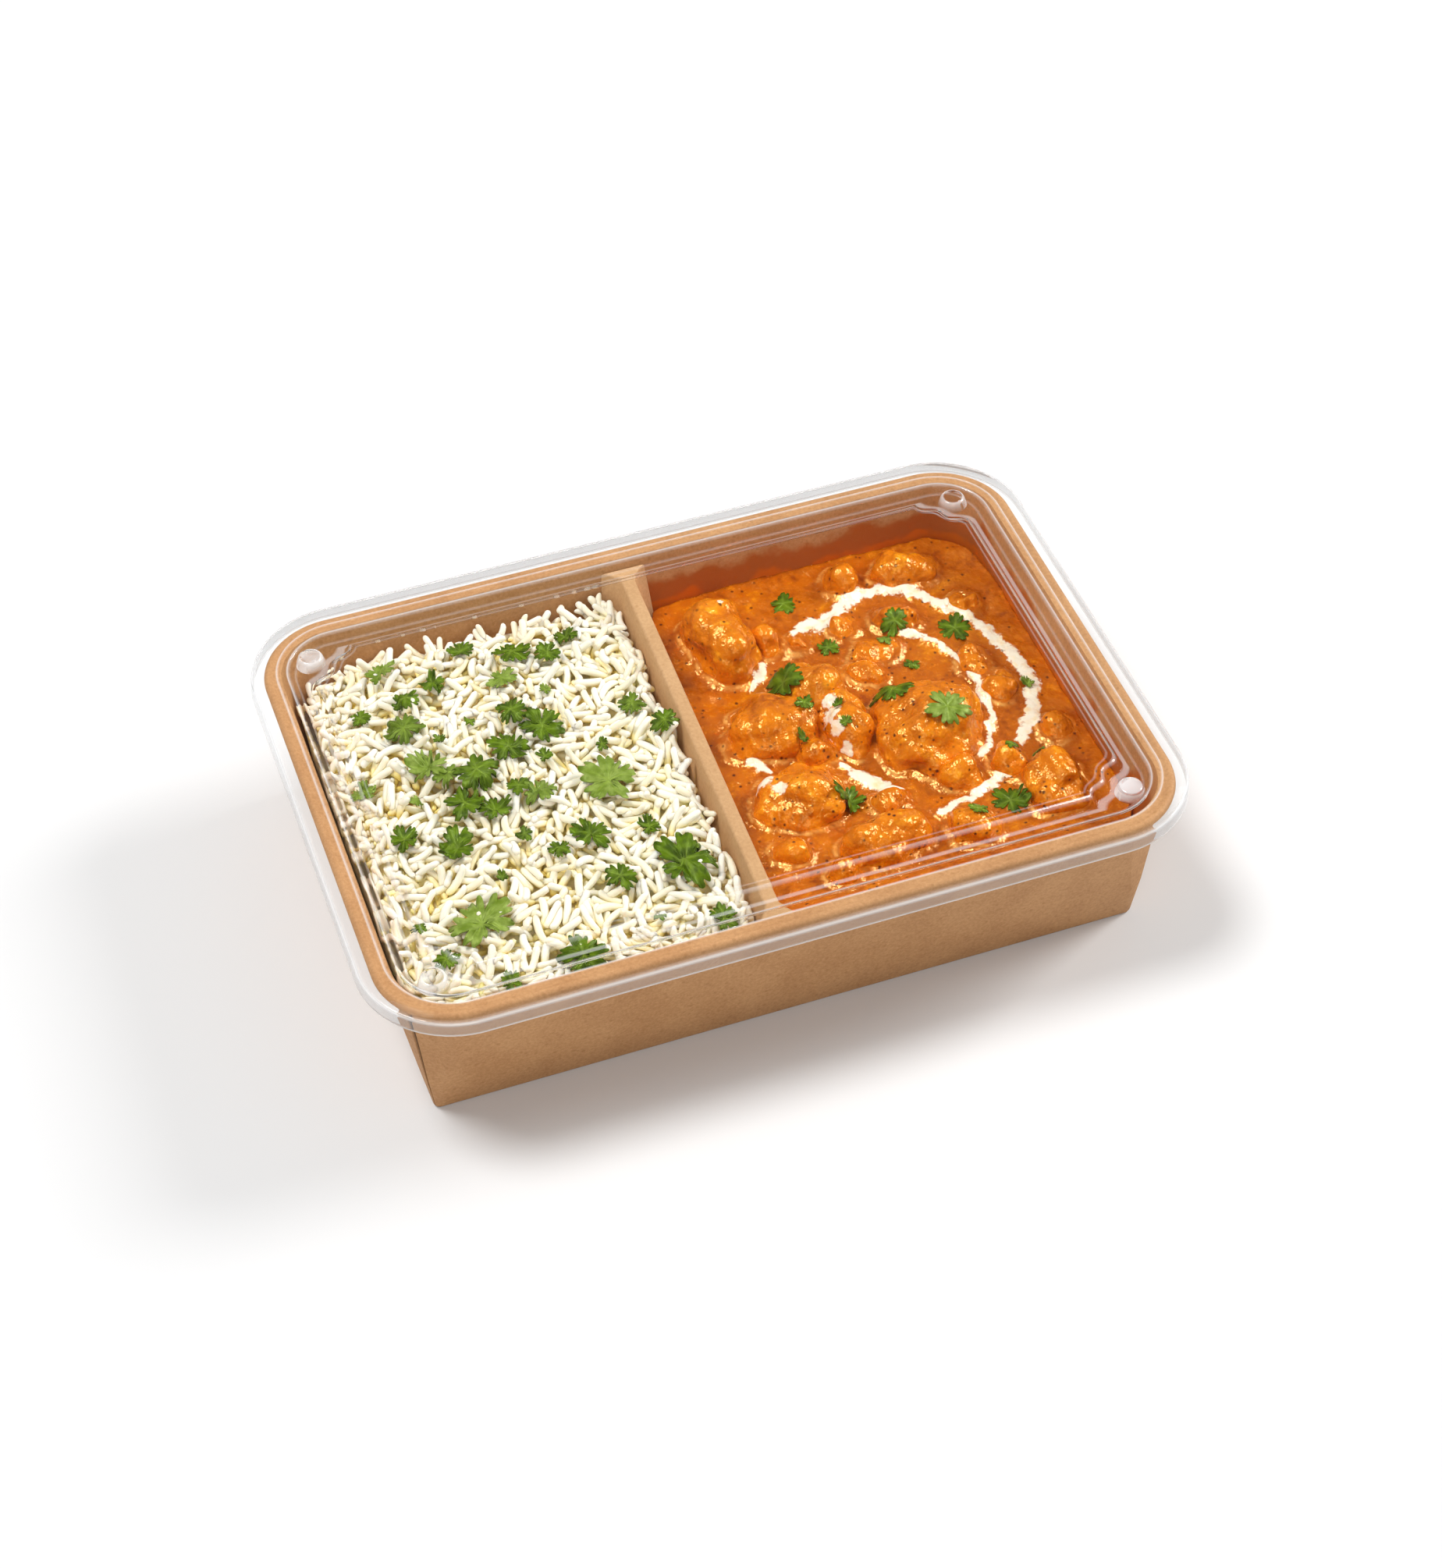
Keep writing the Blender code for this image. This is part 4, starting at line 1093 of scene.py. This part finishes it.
lid = {
    "steps": 20,
    "underside": [
        (-17.4, 1.1, 11.5, "cut", 0.4, 0),
        (-16.3, 1.1, 11.7, "cut", 0.4, 0),
        (-15.0, 0.95, 12.2, "cut", 0.7, 0),
        (-14.2, 0.4, 12.5, "cut", 0.8, 0),
        (-12.9, -1.9, 13.1, "cut", 0.8, 0),
        (-12.3, -2.3, 13.3, "cut", 0.8, 0),
        (-9.4, -2.3, 11.4, "round", 0, 0),
        (-8.6, -2.1, 12.0, "round", 0, 0),
        (-7.4, -0.6, 13.5, "round", 0, 0),
        (-6.6, 0.2, 15.0, "round", 0, 0),
        (-6.0, 0.4, 15.8, "round", 0, 0),
        (2.6, 0.4, 25.0, "round", 0, 0),
        (3.2, 0.0, 26.2, "round", 0, 0),
        (3.6, -3.3, 27.0, "round", 0, 0),
    ],
    "topSide": [
        (3.9, -3.35, 27.3, "round", 0, 1.0),
        (4.15, -3.1, 27.6, "round", 0, 1.2),
        (4.05, -2.3, 27.4, "round", 0, 0.3),
        (3.8, 0.0, 27.0, "round", 0, 0.35),
        (3.4, 0.75, 26.4, "round", 0, 1.2),
        (2.8, 0.98, 25.6, "round", 0, 0.3),
        (2.0, 0.98, 24.8, "round", 0, 0.0),
        (-3.2, 0.95, 19.3, "round", 0, 0.0),
        (-3.6, 1.1, 18.8, "round", 0, 0.8),
        (-3.9, 1.1, 18.5, "round", 0, 0.5),
        (-4.3, 0.95, 18.0, "round", 0, 0.0),
        (-6.3, 0.95, 15.6, "round", 0, 0),
        (-6.7, 0.9, 15.2, "round", 0, 0.9),
        (-7.1, 0.7, 14.8, "round", 0, 0.4),
        (-7.6, 0.1, 13.9, "round", 0, 0.0),
        (-8.6, -1.2, 12.4, "round", 0, 0.0),
        (-9.1, -1.7, 11.8, "round", 0, 0.3),
        (-9.6, -1.85, 11.4, "round", 0, 0),
        (-10.8, -1.85, 12.2, "cut", 0.4, 0),
        (-11.2, -1.85, 12.6, "cut", 0.6, 0.5),
        (-11.9, -1.85, 13.2, "cut", 0.8, 0.5),
        (-12.3, -1.7, 13.2, "cut", 0.8, 0),
        (-13.6, 0.6, 12.6, "cut", 0.8, 0.0),
        (-14.0, 1.1, 12.4, "cut", 0.8, 0.3),
        (-14.6, 1.5, 12.1, "cut", 0.7, 0.5),
        (-15.0, 1.62, 12.0, "cut", 0.6, 0),
        (-15.7, 1.68, 11.8, "cut", 0.5, 0),
        (-16.1, 1.68, 11.7, "cut", 0.4, 0.3),
        (-16.5, 1.65, 11.6, "cut", 0.4, 0.0),
        (-17.6, 1.65, 11.5, "cut", 0.4, 0.0),
    ],
    "lug": {"from": 14.7, "radius": 4.3, "taper": 0.78, "top": 1.1, "foot": -1.85},
}


def lidFinish():
    # Clear sheet; along its folds a white shader is mixed in as painted highlight, standing in for the reflections
    # there. Lamps shine straight through it.
    clear = Finish("clearLid", roughness=0.0, transmission=1.0, refraction=1.14, coatRoughness=0.04)
    clear.drive("coat", clear.carried("shine"))
    # The skirt's colour is greyed: painted shade for the grey band the clear skirt shows.
    clear.drive("colour", clear.blend(clear.carried("skirt"), (0.98, 0.985, 0.985, 1), (0.8, 0.81, 0.82, 1)))
    white = clear.add("ShaderNodeBsdfPrincipled", {}, {"Base Color": (0.95, 0.95, 0.95, 1), "Roughness": 0.25})
    through = clear.add("ShaderNodeBsdfTransparent", {}, {"Color": (0.97, 0.97, 0.97, 1)})
    body = Wire(clear, clear.shader.outputs[0])
    # Painted highlight along the folds and lug rings, by the shine share.
    withFoldHighlight = clear.add("ShaderNodeMixShader", {}, {0: clear.carried("shine") * 0.45, 1: body, 2: white})
    lamps = clear.add("ShaderNodeLightPath", out="Is Shadow Ray") + clear.add("ShaderNodeLightPath", out="Is Diffuse Ray")
    mixed = clear.add("ShaderNodeMixShader", {}, {0: lamps, 1: withFoldHighlight, 2: through})
    clear.feed(clear.tree.nodes["Material Output"].inputs["Surface"], mixed)
    return clear


def makeLid():
    rim = box["rimHalf"]
    stations = lid["underside"] + lid["topSide"]

    def spotOf(station, key):
        offset, height, radius, shape, wave, shine = station
        half = (rim[0] + offset, rim[1] + offset)
        return cornerSpot(half, radius, box["height"] + height, key, shape, wave)

    bm, keys, ranks = growStations(stations, lid["steps"], spotOf)
    shines = [stations[ranks[vertex]][5] for vertex in bm.verts]
    # Stations outside the rim form the skirt, which gets the painted grey.
    skirts = [float(stations[ranks[vertex]][0] > 3.0) for vertex in bm.verts]
    lug = lid["lug"]
    tall = lug["top"] - lug["foot"]
    for sideX in (-1, 1):
        for sideY in (-1, 1):
            centre = Vector((sideX * (rim[0] - lug["from"]), sideY * (rim[1] - lug["from"]),
                             box["height"] + lug["foot"] + tall / 2))
            made = bmesh.ops.create_cone(bm, cap_ends=True, segments=32, radius1=lug["radius"],
                                         radius2=lug["radius"] * lug["taper"], depth=tall)["verts"]
            bmesh.ops.translate(bm, vec=centre, verts=made)
            upper = {vertex for vertex in made if vertex.co.z > centre.z}
            edges = [edge for edge in bm.edges if edge.verts[0] in upper and edge.verts[1] in upper]
            bmesh.ops.bevel(bm, geom=edges, offset=0.8, offset_type="OFFSET", segments=3, profile=0.5,
                            affect="EDGES", material=-1)
            fresh = list(bm.verts)[len(shines):]
            # The lug's shoulder ring gets shine: painted highlight.
            shines.extend([0.9 * (tall * 0.2 < vertex.co.z - centre.z < tall * 0.49) for vertex in fresh])
            # The lugs get a little of the painted grey.
            skirts.extend([0.3] * len(fresh))
    mesh = meshFrom(bm, "lidSheet")
    carry(mesh, "shine", shines)
    carry(mesh, "skirt", skirts)
    linkPiece("lidSheet", mesh, lidFinish(), ("lid",), sharpFrom=60)
    print("lid")


makeLid()


# Floor, light and camera

studio = {
    "floor": 3.0,
    "lens": 73.085,
    "camera": (-197.812, -586.056, 674.524),
    "right": (0.94205174, -0.33525183, -0.01203031),
    "down": (-0.25054351, -0.67926988, -0.68979735),
    "forward": (0.223084, 0.65283891, -0.72390254),
    "lamps": [
        ("key", (-0.7, 0.4, 1.85), 0.7, 28.0),
        ("right", (1.9, 0.2, 1.3), 0.9, 37.0),
        ("fill", (-0.7, -1.9, 1.6), 1.6, 17.0),
    ],
    "sky": 0.34,
}


def makeStudio():
    bm = bmesh.new()
    bmesh.ops.create_grid(bm, x_segments=1, y_segments=1, size=studio["floor"] / mm)
    bmesh.ops.translate(bm, vec=(0, 0, -0.05), verts=bm.verts)
    mesh = meshFrom(bm, "floor")
    pale = Finish("paleFloor", colour=(0.72, 0.72, 0.72, 1), roughness=0.9, specular=0.1)
    mesh.materials.append(pale.material)
    floor = bpy.data.objects.new("floor", mesh)
    bpy.context.scene.collection.objects.link(floor)

    for name, place, size, power in studio["lamps"]:
        lamp = bpy.data.lights.new(name, "AREA")
        lamp.shape = "DISK"
        lamp.size = size
        lamp.energy = power
        item = bpy.data.objects.new(name, lamp)
        item.location = place
        item.rotation_euler = (-Vector(place)).to_track_quat("-Z", "Y").to_euler()
        bpy.context.scene.collection.objects.link(item)

    world = bpy.data.worlds.new("studio")
    world.use_nodes = True
    world.node_tree.nodes["Background"].inputs["Color"].default_value = (1, 1, 1, 1)
    world.node_tree.nodes["Background"].inputs["Strength"].default_value = studio["sky"]
    bpy.context.scene.world = world

    lens = bpy.data.cameras.new("camera")
    lens.lens = studio["lens"]
    lens.sensor_width = 36
    lens.sensor_fit = "AUTO"
    lens.clip_start = 0.02
    lens.clip_end = 20
    camera = bpy.data.objects.new("camera", lens)
    across, down, ahead = (Vector(studio[name]) for name in ("right", "down", "forward"))
    stand = Matrix((across, -down, -ahead)).transposed().to_4x4()
    stand.translation = Vector(studio["camera"]) * mm
    camera.matrix_world = stand
    bpy.context.scene.collection.objects.link(camera)
    bpy.context.scene.camera = camera
    print("studio")


makeStudio()
